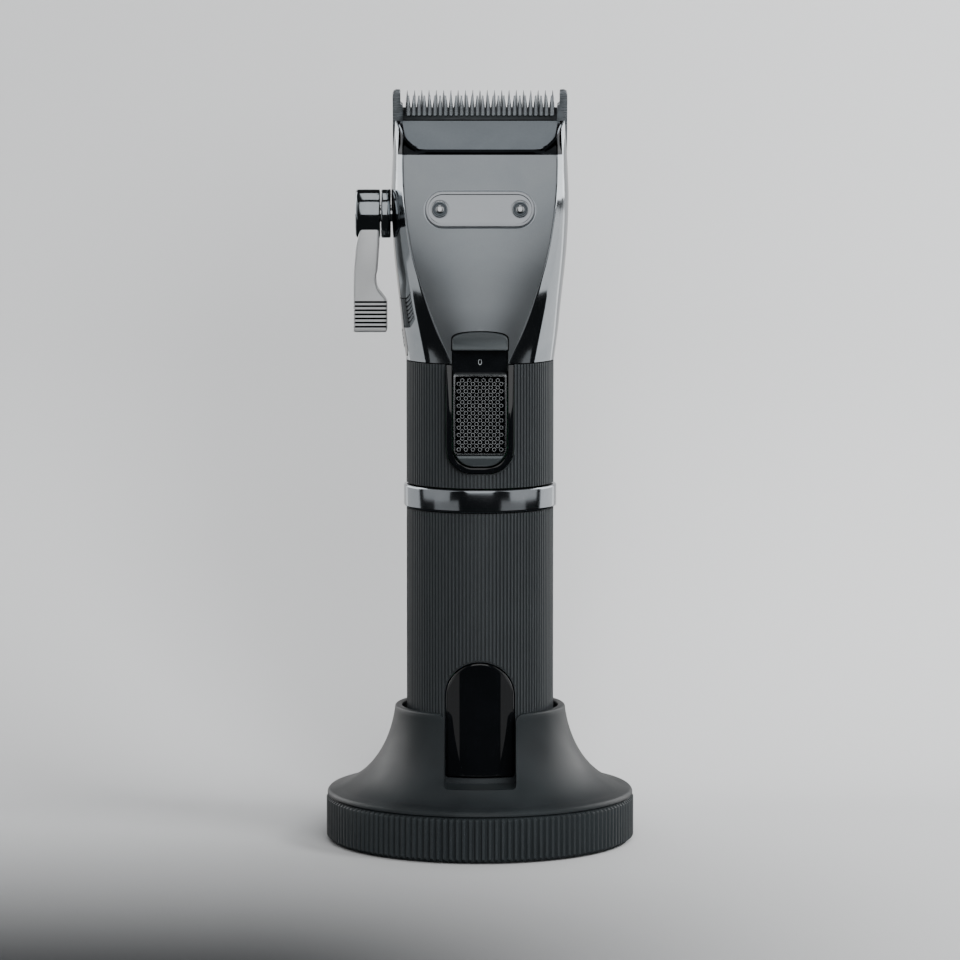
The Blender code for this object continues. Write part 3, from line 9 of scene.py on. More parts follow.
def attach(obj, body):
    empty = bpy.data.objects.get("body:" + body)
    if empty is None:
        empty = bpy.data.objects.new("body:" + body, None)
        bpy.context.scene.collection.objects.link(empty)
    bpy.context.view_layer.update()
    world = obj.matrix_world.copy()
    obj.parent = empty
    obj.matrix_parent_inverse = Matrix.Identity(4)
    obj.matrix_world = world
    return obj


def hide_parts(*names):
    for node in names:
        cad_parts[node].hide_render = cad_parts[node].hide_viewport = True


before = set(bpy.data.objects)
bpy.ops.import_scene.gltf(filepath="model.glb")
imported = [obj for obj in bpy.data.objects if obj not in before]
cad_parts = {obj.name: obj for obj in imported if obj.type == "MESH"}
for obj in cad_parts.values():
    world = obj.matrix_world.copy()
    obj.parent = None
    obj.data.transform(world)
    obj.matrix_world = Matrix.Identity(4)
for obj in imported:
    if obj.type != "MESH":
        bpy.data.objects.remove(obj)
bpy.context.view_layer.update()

mm = 0.001
studio = bpy.context.scene


# Tools that every piece uses

def addNode(tree, kind, settings=None, links=None):
    node = tree.nodes.new(kind)
    for key, value in (settings or {}).items():
        if isinstance(key, str) and hasattr(node, key):
            setattr(node, key, value)
        else:
            node.inputs[key].default_value = value
    for key, source in (links or {}).items():
        tree.links.new(source, node.inputs[key])
    return node


def chain(tree, values, steps):  # each step: result, node kind, operation, then terms: names or numbers
    for name, kind, operation, *terms in steps:
        settings = {"operation": operation} if operation else {}
        settings.update({i: term for i, term in enumerate(terms) if not isinstance(term, str)})
        links = {i: values[term] for i, term in enumerate(terms) if isinstance(term, str)}
        values[name] = addNode(tree, "ShaderNode" + kind, settings, links).outputs[0]


def hexColour(code):
    channels = [int(code[i : i + 2], 16) / 255 for i in (0, 2, 4)]
    return (*[c / 12.92 if c <= 0.04045 else ((c + 0.055) / 1.055) ** 2.4 for c in channels], 1)


def makeObject(name, shape, materials=(), sharp=35):
    bmesh.ops.recalc_face_normals(shape, faces=shape.faces)
    if shape.calc_volume(signed=True) < 0:
        bmesh.ops.reverse_faces(shape, faces=shape.faces)
    mesh = bpy.data.meshes.new(name)
    shape.to_mesh(mesh)
    shape.free()
    item = bpy.data.objects.new(name, mesh)
    studio.collection.objects.link(item)
    for look in materials:
        mesh.materials.append(finish[look])
    smooth(item, sharp)
    return item


def smooth(item, sharp=35):
    item.data.shade_smooth()
    item.data.set_sharp_from_angle(angle=math.radians(sharp))


def applyAll(item, sharp=35):  # turns what the modifiers make into the object's own mesh
    bpy.context.view_layer.update()
    graph = bpy.context.evaluated_depsgraph_get()
    mesh = bpy.data.meshes.new_from_object(item.evaluated_get(graph))
    old = item.data
    item.modifiers.clear()
    item.data = mesh
    bpy.data.meshes.remove(old)
    mesh.name = item.name
    smooth(item, sharp)
    return item


def carve(item, shapes, operation="DIFFERENCE", sharp=35):
    tools = []
    for shape in shapes:
        tool = makeObject("tool", shape)
        modifier = item.modifiers.new("carve", "BOOLEAN")
        modifier.operation = operation
        modifier.solver = "EXACT"
        modifier.object = tool
        tools.append(tool)
    applyAll(item, sharp)
    for tool in tools:
        bpy.data.meshes.remove(tool.data)
    return item


def soften(item, width, segments=3, angle=40, sharp=35):
    modifier = item.modifiers.new("soften", "BEVEL")
    modifier.width = width * mm
    modifier.segments = segments
    modifier.limit_method = "ANGLE"
    modifier.angle_limit = math.radians(angle)
    modifier.harden_normals = False
    return applyAll(item, sharp)


def show(item, body, slotName, *nodes):
    if nodes:
        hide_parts(*nodes)
    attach(item, body)
    return item


# Shapes are measured in millimetres from here on; addPoints turns them to metres.

def addPoints(shape, places):
    return [shape.verts.new([c * mm for c in place]) for place in places]


def join(shape, rings, ends=True):  # faces between rings of points, and one over each end
    for ring, above in zip(rings, rings[1:]):
        for i in range(len(ring)):
            j = (i + 1) % len(ring)
            shape.faces.new((ring[i], ring[j], above[j], above[i]))
    for ring in (rings[0], rings[-1]) if ends else ():
        shape.faces.new(ring)
    return shape


def turned(profile, segments):  # the profile is (radius, height), closed on itself or on the axis
    shape = bmesh.new()
    angles = [2 * math.pi * step / segments for step in range(segments)]
    rings = [addPoints(shape, [(radius * math.cos(a), radius * math.sin(a), z) for a in angles if radius])
             for radius, z in profile]
    for ring, after in zip(rings, rings[1:] + rings[:1]):
        if ring and after:
            for i in range(segments):
                j = (i + 1) % segments
                shape.faces.new((ring[i], ring[j], after[j], after[i]))
        elif ring or after:
            shape.faces.new(ring or after)
    return shape


def frontView(u, v, w):
    return (u, w, v)


def sideView(u, v, w):
    return (w, u, v)


def topView(u, v, w):
    return (u, v, w)


def prism(outline, low, high, view):
    return stacked([(outline, low), (outline, high)], view)


def stacked(layers, view):  # layers are outlines with the same number of points, each at its depth
    shape = bmesh.new()
    return join(shape, [addPoints(shape, [view(u, v, w) for u, v in outline]) for outline, w in layers])


def block(low, high):
    outline = [(low[0], low[2]), (high[0], low[2]), (high[0], high[2]), (low[0], high[2])]
    return prism(outline, low[1], high[1], frontView)


def rod(start, end, radius, segments):
    along = Vector(end) - Vector(start)
    shape = turned([(0, 0), (radius, 0), (radius, along.length), (0, along.length)], segments)
    turn = Vector((0, 0, 1)).rotation_difference(along).to_matrix().to_4x4()
    shape.transform(Matrix.Translation(Vector(start) * mm) @ turn)
    return shape


def arc(centre, radius, start, end, steps):
    angles = [math.radians(start + (end - start) * i / steps) for i in range(steps + 1)]
    return [(centre[0] + radius * math.cos(a), centre[1] + radius * math.sin(a)) for a in angles]


def rounded(left, right, low, high, lowRadius, highRadius, steps=8):
    return (
        arc((right - lowRadius, low + lowRadius), lowRadius, -90, 0, steps)
        + arc((right - highRadius, high - highRadius), highRadius, 0, 90, steps)
        + arc((left + highRadius, high - highRadius), highRadius, 90, 180, steps)
        + arc((left + lowRadius, low + lowRadius), lowRadius, 180, 270, steps)
    )


def pill(halfWidth, radius, steps=12):
    return rounded(-halfWidth, halfWidth, -radius, radius, radius, radius, steps)


# Camera, floor and lights

camera = {"place": (0, -1.24845, 0.22585), "down": 5.932, "lens": 177.24}
# the paper is pale; the deep colour is the shade painted onto it near its front edge and to the left
stage = {"wallY": 0.17, "curve": 0.12, "reach": 4.0, "high": 1.6, "pale": "cfd0d1", "deep": "2a2b2c"}
# Cards are what the polished parts mirror; lamps light the rest and are not mirrored.
cards = {  # place, size across and up, brightness
    "cardLeft": ((-0.80, -0.29, 0.50), 0.95, 1.15, 0.5),
    "cardRight": ((0.80, -0.29, 0.50), 0.95, 1.15, 0.66),
    "cardBackLeft": ((-0.74, 0.52, 0.47), 0.75, 0.74, 2.7),
    "cardBackRight": ((0.74, 0.52, 0.47), 0.75, 0.74, 3.0),
    "cardBackLowLeft": ((-0.74, 0.52, -0.05), 0.75, 0.32, 0.75),
    "cardBackLowRight": ((0.74, 0.52, -0.05), 0.75, 0.32, 1.2),
    "cardBack": ((0.0, 0.95, 0.20), 1.5, 0.8, 0.75),
    "cardFront": ((0.0, -0.95, 0.67), 0.86, 1.28, 1.16),
    "cardOver": ((0.0, 0.05, 1.2), 0.55, 0.8, 1.15),
    "cardBandLeft": ((-0.80, -0.62, -0.12), 0.75, 0.22, 0.3),
    "cardBandRight": ((0.80, -0.62, -0.12), 0.75, 0.22, 0.3),
}
lamps = {  # place, what it looks at, size, power
    "keyLamp": ((0.25, -1.15, 0.62), (0, 0, 0.14), 0.9, 25.0),
    "washLamp": ((0.75, -0.45, 0.75), (0.25, 0.17, 0.25), 0.35, 9.0),
}
aim = Vector((0, 0, 0.13))


def makeStage():
    shape = bmesh.new()
    wall, curve, reach = stage["wallY"], stage["curve"], stage["reach"]
    profile = [(-reach, 0)] + [
        (wall - curve + curve * math.sin(a), curve - curve * math.cos(a))
        for a in [math.pi / 2 * i / 24 for i in range(25)]
    ] + [(wall, stage["high"])]
    rows = [[shape.verts.new((x, y, z)) for y, z in profile] for x in (-reach, reach)]
    for i in range(len(profile) - 1):
        shape.faces.new((rows[0][i], rows[1][i], rows[1][i + 1], rows[0][i + 1]))
    mesh = bpy.data.meshes.new("paperSweep")
    shape.to_mesh(mesh)
    shape.free()
    mesh.shade_smooth()
    sweep = bpy.data.objects.new("paperSweep", mesh)
    studio.collection.objects.link(sweep)
    sweep.visible_glossy = False
    paper = bpy.data.materials.new("backgroundPaper")  # matt paper: open from behind, so the back is seen
    paper.use_nodes = True
    tree = paper.node_tree
    tree.nodes.clear()
    place = addNode(tree, "ShaderNodeTexCoord").outputs["Object"]
    fibre = addNode(tree, "ShaderNodeTexNoise", {"Scale": 900.0, "Detail": 3.0}, {"Vector": place})
    bump = addNode(tree, "ShaderNodeBump", {"Strength": 0.05, "Distance": 0.1 * mm},
                   {"Height": fibre.outputs["Fac"]})
    # painted shade: the paper's colour is darkened towards the front edge and to the left, standing in for
    # the light falling off there and the shadow under the stand
    spot = addNode(tree, "ShaderNodeSeparateXYZ", None, {0: place})
    ahead = addNode(tree, "ShaderNodeMapRange", {"interpolation_type": "SMOOTHSTEP", "From Min": 0.10,
                    "From Max": -0.20, "To Min": 0.17}, {0: spot.outputs["Y"]}).outputs[0]
    leftward = addNode(tree, "ShaderNodeMapRange", {"interpolation_type": "SMOOTHSTEP", "From Min": 0.16,
                       "From Max": -0.06, "To Min": 0.25}, {0: spot.outputs["X"]}).outputs[0]
    paintedShadeAmount = addNode(tree, "ShaderNodeMath", {"operation": "MULTIPLY"}, {0: ahead, 1: leftward}).outputs[0]
    shade = addNode(tree, "ShaderNodeMix", {"data_type": "RGBA", 6: hexColour(stage["pale"]),
                    7: hexColour(stage["deep"])}, {0: paintedShadeAmount}).outputs[2]
    matt = addNode(tree, "ShaderNodeBsdfDiffuse", None,
                   {"Color": shade, "Normal": bump.outputs["Normal"]})
    clear = addNode(tree, "ShaderNodeBsdfTransparent")
    behind = addNode(tree, "ShaderNodeNewGeometry").outputs["Backfacing"]
    mixed = addNode(tree, "ShaderNodeMixShader", None,
                    {0: behind, 1: matt.outputs[0], 2: clear.outputs[0]})
    addNode(tree, "ShaderNodeOutputMaterial", None, {"Surface": mixed.outputs[0]})
    mesh.materials.append(paper)


def makeLights():
    plan = [(name, place, aim, size, glow * math.pi * size[0] * size[1], True)
            for name, (place, *size, glow) in cards.items()]
    plan += [(name, place, Vector(at), (size, size), power, False)
             for name, (place, at, size, power) in lamps.items()]
    for name, place, at, size, power, inGloss in plan:
        data = bpy.data.lights.new(name, "AREA")
        data.shape = "RECTANGLE"
        data.size, data.size_y = size
        data.energy = power
        lamp = bpy.data.objects.new(name, data)
        studio.collection.objects.link(lamp)
        lamp.location = place
        lamp.rotation_euler = (at - Vector(place)).to_track_quat("-Z", "Y").to_euler()
        lamp.visible_camera = False
        lamp.visible_glossy = inGloss
    world = bpy.data.worlds.new("studioRoom")
    studio.world = world
    world.use_nodes = True
    tree = world.node_tree
    tree.nodes.clear()
    seen = addNode(tree, "ShaderNodeLightPath").outputs["Is Camera Ray"]
    room = addNode(tree, "ShaderNodeBackground", {"Color": hexColour("8f9498"), "Strength": 0.06})
    beyond = addNode(tree, "ShaderNodeBackground", {"Color": hexColour("c4c5c6"), "Strength": 0.8})
    mixed = addNode(tree, "ShaderNodeMixShader", None,
                    {0: seen, 1: room.outputs[0], 2: beyond.outputs[0]})
    addNode(tree, "ShaderNodeOutputWorld", None, {"Surface": mixed.outputs[0]})


def makeCamera():
    data = bpy.data.cameras.new("camera")
    data.lens = camera["lens"]
    data.sensor_width = 36
    data.clip_start = 0.05
    data.clip_end = 50
    item = bpy.data.objects.new("camera", data)
    studio.collection.objects.link(item)
    item.location = camera["place"]
    item.rotation_euler = (math.radians(90 - camera["down"]), 0, 0)
    studio.camera = item


makeCamera()
makeStage()
makeLights()
print("stage, lights and camera are up")

# Finishes
# Each row: light, dark and worn-edge colours, roughness, its spread, metallic, grain size and bump depth
# in mm, then, where needed, constant sockets and the grain's stretch.

finishes = {
    # soft-touch moulded plastic: a fine even grain that blurs every reflection
    "softTouchPlastic": ("1a1e20", "131618", "34383a", 0.42, 0.06, 0, 0.35, 0.012,
                         {"IOR": 1.45, "Specular IOR Level": 0.4}),
    # the same plastic, drier: the ribs read by their shading and not by glints
    "ribbedPlastic": ("1e2123", "17191b", "3a3e40", 0.4, 0.05, 0, 0.3, 0.008, {"IOR": 1.5}),
    # polished acrylic: mirror-like with the faintest waviness
    "glossAcrylic": ("07080a", "040506", "101214", 0.04, 0.03, 0, 3.0, 0.002,
                     {"IOR": 1.49, "Coat Weight": 0.5, "Coat Roughness": 0.03}),
    # lighter fine-grained plastic, flat and even beside the gloss round it
    "mattGreyPlastic": ("282c2e", "212527", "595e60", 0.45, 0.06, 0, 0.3, 0.012, {"IOR": 1.5}),
    # black-nickel plating on zinc casting: a dark mirror with slight orange peel
    "blackNickelPlate": ("a6abaf", "989ea3", "b9bdc0", 0.09, 0.03, 1, 1.6, 0.0012),
    # the ring's plating is a shade darker and a little softer
    "ringNickel": ("a4a9ae", "979ca1", "adb1b5", 0.12, 0.03, 1, 1.2, 0.001),
    # the same plating over a bead-blasted face: silky, even highlights
    "satinBlackNickel": ("a3a8ac", "93999e", "b3b7ba", 0.4, 0.03, 1, 0.25, 0.004),
    # painted shade: the groove's plating is coloured near black in place of the dark it mirrors, a line that
    # hardly answers the light
    "deepBlackNickel": ("1c1f22", "141618", "2a2d30", 0.16, 0.04, 1, 0.8, 0.001),
    # the nose's plating is coloured darker than the casing's: it reads as a darker band with a soft sheen
    "noseNickel": ("73797e", "666c71", "83888c", 0.2, 0.04, 1, 0.6, 0.002),
    # anodised aluminium: a pale, milky sheen with no clear reflection
    "badgeAluminium": ("b4b8bc", "a7abb0", "d0d3d5", 0.33, 0.04, 1, 0.2, 0.003),
    # die-cast lever, tumbled to a satin silver
    "satinSilver": ("d9dbdc", "cbcdcf", "e6e7e8", 0.44, 0.05, 0.82, 0.22, 0.004),
    # hardened tool steel with surface-grinding lines across the blade
    "groundSteel": ("6b7074", "565b5f", "b9bec2", 0.28, 0.08, 0.65, 0.25, 0.003, {}, (0.08, 1, 1)),
    # painted shade: the cutter's body is coloured near black for the shadow it lies in, a dark ground that
    # the bright teeth stand before
    "oxideSteel": ("26292b", "1b1d1f", "8e9397", 0.3, 0.08, 1, 0.3, 0.003, {}, (0.1, 1, 1)),
    # polished steel: small sharp highlights
    "brightSteel": ("d2d4d6", "bcc0c3", "e4e6e7", 0.16, 0.06, 1, 0.4, 0.002),
    # etched black ground: takes no highlight, so the pressed rings stand out
    "etchedField": ("0c0d0e", "070809", "1e2123", 0.5, 0.08, 1, 0.2, 0.006),
    # rough cast iron weight
    "castSteel": ("8b8e90", "6d7072", "a5a8aa", 0.6, 0.12, 1, 0.7, 0.05),
    # thin gold over brass: warm, with soft-edged glints
    "giltBrass": ("dcb866", "c49f4f", "ead08c", 0.22, 0.07, 1, 0.3, 0.003),
    # moulded rubber foot: dusty and dull
    "footRubber": ("232425", "181919", "2f3031", 0.85, 0.08, 0, 0.4, 0.03, {"IOR": 1.52}),
    # glass-epoxy with green solder mask over copper tracks
    "solderMask": ("24573f", "1a4230", "357556", 0.38, 0.08, 0, 0.8, 0.02, {"IOR": 1.55, "Coat Weight": 0.4}),
    # shrink film: plain blue with low ripples
    "batteryWrap": ("3f74ad", "33639a", "5c8fc4", 0.35, 0.08, 0, 2.5, 0.03, {"IOR": 1.54}),
    # printed ink: flat grey
    "printedMark": ("8f9496", "83888a", "9aa0a2", 0.5, 0.05, 0, 0.2, 0.003, {"IOR": 1.5}),
}


def makeFinish(name, light, dark, edge, rough, spread, metal, grainSize, depth, more=None,
               stretch=(1, 1, 1)):
    material = bpy.data.materials.new(name)
    material.use_nodes = True
    tree = material.node_tree
    shader = tree.nodes["Principled BSDF"]
    for key, value in {"Metallic": metal, **(more or {})}.items():
        shader.inputs[key].default_value = value
    place = addNode(tree, "ShaderNodeTexCoord").outputs["Object"]
    drawn = addNode(tree, "ShaderNodeMapping", {"Scale": stretch}, {"Vector": place})
    grain = addNode(tree, "ShaderNodeTexNoise", {"Scale": 1 / (grainSize * mm), "Detail": 4.0,
                    "Roughness": 0.6}, {"Vector": drawn.outputs[0]}).outputs["Fac"]
    handled = addNode(tree, "ShaderNodeTexNoise", {"Scale": 55.0, "Detail": 3.0, "Distortion": 0.4},
                      {"Vector": place}).outputs["Fac"]  # patches about 18 mm across, from handling
    blend = addNode(tree, "ShaderNodeMath", {"operation": "MULTIPLY_ADD", 1: 0.35},
                    {0: grain, 2: handled}).outputs[0]
    share = addNode(tree, "ShaderNodeMapRange", {"From Min": 0.45, "From Max": 0.85}, {0: blend}).outputs[0]
    base = addNode(tree, "ShaderNodeMix", {"data_type": "RGBA", 6: hexColour(dark),
                   7: hexColour(light)}, {0: share}).outputs[2]
    bent = addNode(tree, "ShaderNodeNewGeometry").outputs["Pointiness"]
    worn = addNode(tree, "ShaderNodeMapRange", {"From Min": 0.53, "From Max": 0.62, "To Max": 0.7},
                   {0: bent}).outputs[0]
    scuffed = addNode(tree, "ShaderNodeMath", {"operation": "MULTIPLY"}, {0: worn, 1: grain}).outputs[0]
    colour = addNode(tree, "ShaderNodeMix", {"data_type": "RGBA", 7: hexColour(edge)},
                     {0: scuffed, 6: base}).outputs[2]
    tree.links.new(colour, shader.inputs["Base Color"])
    gloss = addNode(tree, "ShaderNodeMapRange", {"From Min": 0.45, "From Max": 0.85,
                    "To Min": max(0.02, rough - spread), "To Max": rough + spread}, {0: blend}).outputs[0]
    tree.links.new(gloss, shader.inputs["Roughness"])
    bump = addNode(tree, "ShaderNodeBump", {"Strength": 0.6, "Distance": depth * mm},
                   {"Height": grain})
    tree.links.new(bump.outputs["Normal"], shader.inputs["Normal"])
    return material


finish = {name: makeFinish(name, *look) for name, look in finishes.items()}
print("finishes mixed:", len(finish))

# Node trees for what repeats

socketKinds = {"Geometry": "Geometry", "Shape": "Object", "Count": "Int", "Across": "Int", "Rows": "Int",
               "Start": "Vector", "Step": "Vector", "Turn": "Vector", "Middle": "Vector",
               "Material": "Material"}  # any other input is a plain number


def startTree(name, *labels):
    tree = bpy.data.node_groups.new(name, "GeometryNodeTree")
    for label in ("Geometry", *labels, "Material"):
        kind = "NodeSocket" + socketKinds.get(label, "Float")
        tree.interface.new_socket(label, in_out="INPUT", socket_type=kind)
    tree.interface.new_socket("Geometry", in_out="OUTPUT", socket_type="NodeSocketGeometry")
    return tree, {socket.name: socket for socket in addNode(tree, "NodeGroupInput").outputs}


def ringPoints(tree, given):  # points round a ring, and where each of them stands
    circle = addNode(tree, "GeometryNodeMeshCircle", None,
                     {"Vertices": given["Count"], "Radius": given["Radius"]})
    place = addNode(tree, "ShaderNodeSeparateXYZ", None,
                    {0: addNode(tree, "GeometryNodeInputPosition").outputs[0]})
    given.update({"x": place.outputs["X"], "y": place.outputs["Y"]})
    return circle.outputs[0]


def setCopies(tree, given, links):  # the given shape on every point
    shape = addNode(tree, "GeometryNodeObjectInfo", None, {"Object": given["Shape"]})
    return addNode(tree, "GeometryNodeInstanceOnPoints", None,
                   {"Instance": shape.outputs["Geometry"], **links}).outputs[0]


def endTree(tree, parts, given):
    joined = addNode(tree, "GeometryNodeJoinGeometry")
    for part in parts:
        tree.links.new(part, joined.inputs[0])
    real = addNode(tree, "GeometryNodeRealizeInstances", None, {0: joined.outputs[0]})
    painted = addNode(tree, "GeometryNodeSetMaterial", None,
                      {"Geometry": real.outputs[0], "Material": given["Material"]})
    addNode(tree, "NodeGroupOutput", None, {0: painted.outputs[0]})
    return tree


def runTree(item, tree, sizes, sharp=35):
    modifier = item.modifiers.new(tree.name, "NODES")
    modifier.node_group = tree
    for socket in tree.interface.items_tree:
        if socket.name in sizes:
            modifier[socket.identifier] = sizes[socket.name]
    return applyAll(item, sharp)


def toothRingTree():  # copies of one shape round a ring, with a gap left at the back for a socket
    tree, given = startTree("toothRing", "Shape", "Count", "Radius", "Gap Half")
    circle = ringPoints(tree, given)
    chain(tree, given, [
        ("across", "Math", "ABSOLUTE", "x"),
        ("narrow", "Math", "LESS_THAN", "across", "Gap Half"),
        ("behind", "Math", "GREATER_THAN", "y", 0.0),
        ("gone", "Math", "MULTIPLY", "narrow", "behind"),
        ("angle", "Math", "ARCTAN2", "y", "x"),
        ("turn", "CombineXYZ", None, 0.0, 0.0, "angle"),
    ])
    kept = addNode(tree, "GeometryNodeDeleteGeometry", None, {"Geometry": circle, "Selection": given["gone"]})
    copies = setCopies(tree, given, {"Points": kept.outputs[0], "Rotation": given["turn"]})
    return endTree(tree, [given["Geometry"], copies], given)


def ribTree(name, opensUp):  # ribs round a sleeve that stop at an arch (or, opening up, at a U)
    tree, given = startTree(name, "Shape", "Count", "Radius", "Low", "High", "Half", "Corner", "Centre")
    circle = ringPoints(tree, given)
    met = "High" if opensUp else "Low"  # the end that meets the opening
    chain(tree, given, [
        ("across", "Math", "ABSOLUTE", "x"),
        ("flat", "Math", "SUBTRACT", "Half", "Corner"),
        ("beyond", "Math", "SUBTRACT", "across", "flat"),
        ("past", "Math", "MAXIMUM", "beyond", 0.0),
        ("cornerSquared", "Math", "MULTIPLY", "Corner", "Corner"),
        ("pastSquared", "Math", "MULTIPLY", "past", "past"),
        ("square", "Math", "SUBTRACT", "cornerSquared", "pastSquared"),
        ("kept", "Math", "MAXIMUM", "square", 0.0),
        ("bow", "Math", "SQRT", "kept"),
        ("edge", "Math", "SUBTRACT" if opensUp else "ADD", "Centre", "bow"),
        ("narrow", "Math", "LESS_THAN", "across", "Half"),
        ("ahead", "Math", "LESS_THAN", "y", 0.0),
        ("inside", "Math", "MULTIPLY", "narrow", "ahead"),
        ("change", "Math", "SUBTRACT", "edge", met),
        ("shift", "Math", "MULTIPLY", "inside", "change"),
        ("met", "Math", "ADD", met, "shift"),
        ("length", "Math", "SUBTRACT", *(("met", "Low") if opensUp else ("High", "met"))),
        ("angle", "Math", "ARCTAN2", "y", "x"),
        ("turn", "CombineXYZ", None, 0.0, 0.0, "angle"),
        ("size", "CombineXYZ", None, 1.0, 1.0, "length"),
        ("lift", "CombineXYZ", None, 0.0, 0.0, "Low" if opensUp else "met"),
    ])
    # the lift is read on the points, so it travels with them as the instances' own value
    kind = {"data_type": "FLOAT_VECTOR", "Name": "lift"}
    held = addNode(tree, "GeometryNodeStoreNamedAttribute", {"domain": "POINT", **kind},
                   {"Geometry": circle, "Value": given["lift"]})
    copies = setCopies(tree, given, {"Points": held.outputs[0], "Rotation": given["turn"],
                                     "Scale": given["size"]})
    named = addNode(tree, "GeometryNodeInputNamedAttribute", kind)
    raised = addNode(tree, "GeometryNodeTranslateInstances", {"Local Space": False},
                     {"Instances": copies, "Translation": named.outputs[0]})
    return endTree(tree, [given["Geometry"], raised.outputs[0]], given)


def rowTree():  # copies of one shape in a straight row
    tree, given = startTree("row", "Shape", "Count", "Start", "Step", "Turn")
    line = addNode(tree, "GeometryNodeMeshLine", {"mode": "OFFSET"},
                   {"Count": given["Count"], "Start Location": given["Start"], "Offset": given["Step"]})
    copies = setCopies(tree, given, {"Points": line.outputs[0], "Rotation": given["Turn"]})
    return endTree(tree, [given["Geometry"], copies], given)


def staggerTree():  # rows of rings, every other row shifted half a step and one ring shorter
    tree, given = startTree("stagger", "Shape", "Across", "Rows", "Pitch", "Row Pitch", "Middle")
    given["index"] = addNode(tree, "GeometryNodeInputIndex").outputs[0]
    chain(tree, given, [
        ("total", "Math", "MULTIPLY", "Across", "Rows"),
        ("inStep", "Math", "ADD", "index", 0.5),
        ("share", "Math", "DIVIDE", "inStep", "Across"),
        ("row", "Math", "FLOOR", "share"),
        ("before", "Math", "MULTIPLY", "row", "Across"),
        ("column", "Math", "SUBTRACT", "index", "before"),
        ("odd", "Math", "MODULO", "row", 2.0),
        ("even", "Math", "SUBTRACT", 1.0, "odd"),
        ("nextColumn", "Math", "ADD", "column", 1.5),
        ("lastOne", "Math", "GREATER_THAN", "nextColumn", "Across"),
        ("gone", "Math", "MULTIPLY", "lastOne", "even"),
        ("spans", "Math", "SUBTRACT", "Across", 1.0),
        ("half", "Math", "MULTIPLY", "spans", 0.5),
        ("fromMiddle", "Math", "SUBTRACT", "column", "half"),
        ("halfStep", "Math", "MULTIPLY", "even", 0.5),
        ("along", "Math", "ADD", "fromMiddle", "halfStep"),
        ("x", "Math", "MULTIPLY", "along", "Pitch"),
        ("rowSpans", "Math", "SUBTRACT", "Rows", 1.0),
        ("halfRows", "Math", "MULTIPLY", "rowSpans", 0.5),
        ("rowsUp", "Math", "SUBTRACT", "halfRows", "row"),
        ("z", "Math", "MULTIPLY", "rowsUp", "Row Pitch"),
        ("spot", "CombineXYZ", None, "x", 0.0, "z"),
        ("place", "VectorMath", "ADD", "spot", "Middle"),
    ])
    line = addNode(tree, "GeometryNodeMeshLine", {"mode": "OFFSET", "Offset": (0.0, 0.0, 0.0)},
                   {"Count": given["total"]})
    placed = addNode(tree, "GeometryNodeSetPosition", None,
                     {"Geometry": line.outputs[0], "Position": given["place"]})
    # whole rings are dropped after placing, so the row count above stays simple
    kept = addNode(tree, "GeometryNodeDeleteGeometry", {"domain": "INSTANCE"},
                   {"Geometry": setCopies(tree, given, {"Points": placed.outputs[0]}),
                    "Selection": given["gone"]})
    return endTree(tree, [kept.outputs[0]], given)


rowOf = rowTree()


def hide(item):  # a shape that a tree copies; it is never shown itself
    item.hide_render = True
    item.hide_viewport = True
    return item


def discard(*items):
    for item in items:
        bpy.data.meshes.remove(item.data)


def emptyPiece(name):
    item = bpy.data.objects.new(name, bpy.data.meshes.new(name))
    studio.collection.objects.link(item)
    return item


def addRow(item, shape, count, start, step, look, sharp=35, turn=(0, 0, 0)):
    runTree(item, rowOf, {"Shape": shape, "Count": count, "Start": tuple(c * mm for c in start),
            "Step": tuple(c * mm for c in step), "Turn": turn, "Material": finish[look]}, sharp)
    discard(shape)
    return item


# Cuts from outside stop at these planes
frontCut, sideCut = -9.75, -11

# Charging stand

stand = {
    "radius": 41.0, "rimLow": 0.5, "rimTop": 12.3, "rimWall": 2.2, "wall": 2.2, "skirtDepth": 3.3,
    "cup": 20.7, "collar": 22.7, "collarTop": 36.3, "lip": 1.0, "cupLow": 14.0,
    "notchHalf": 9.5, "notchLow": 18.0, "notchLip": 2.0, "teeth": 150, "toothDepth": 0.8,
    "tipHalf": 0.3, "toothFoot": 0.25, "toothStart": 0.25, "toothFull": 0.9,
    "flare": ((0.066, 0.358), (0.307, 0.169)),  # the bell's two handles, as shares of its spread and drop
    "inletHalf": 4.8, "inletLow": 3.2, "inletHigh": 9.0, "gap": 0.3, "segments": 192,
}


def flareCurve(inset, steps):
    top = Vector((stand["collar"], stand["collarTop"] - stand["lip"], 0))
    foot = Vector((stand["radius"] - 2.4, stand["rimTop"] + 1.6, 0))
    drop, spread = top.y - foot.y, foot.x - top.x
    (outA, downA), (outB, upB) = stand["flare"]
    first = Vector((top.x + outA * spread, top.y - downA * drop, 0))
    second = Vector((top.x + outB * spread, foot.y + upB * drop, 0))
    curve = interpolate_bezier(top, first, second, foot, steps)
    points = []
    for i, point in enumerate(curve):
        along = curve[min(i + 1, len(curve) - 1)] - curve[max(i - 1, 0)]
        out = Vector((-along.y, along.x)).normalized()
        out = out if out.x > 0 else -out
        points.append((point.x - inset * out.x, point.y - inset * out.y))
    return points


def notchOutline():
    half, low, lip = stand["notchHalf"], stand["notchLow"], stand["notchLip"]
    top = stand["collarTop"]
    right = arc((half + lip, top - lip), lip, 180, 90, 8)
    left = [(-x, z) for x, z in reversed(right)]
    corners = arc((-half + 1, low + 1), 1, 180, 270, 5) + arc((half - 1, low + 1), 1, 270, 360, 5)
    return corners + right + [(right[-1][0], top + 2), (left[0][0], top + 2)] + left


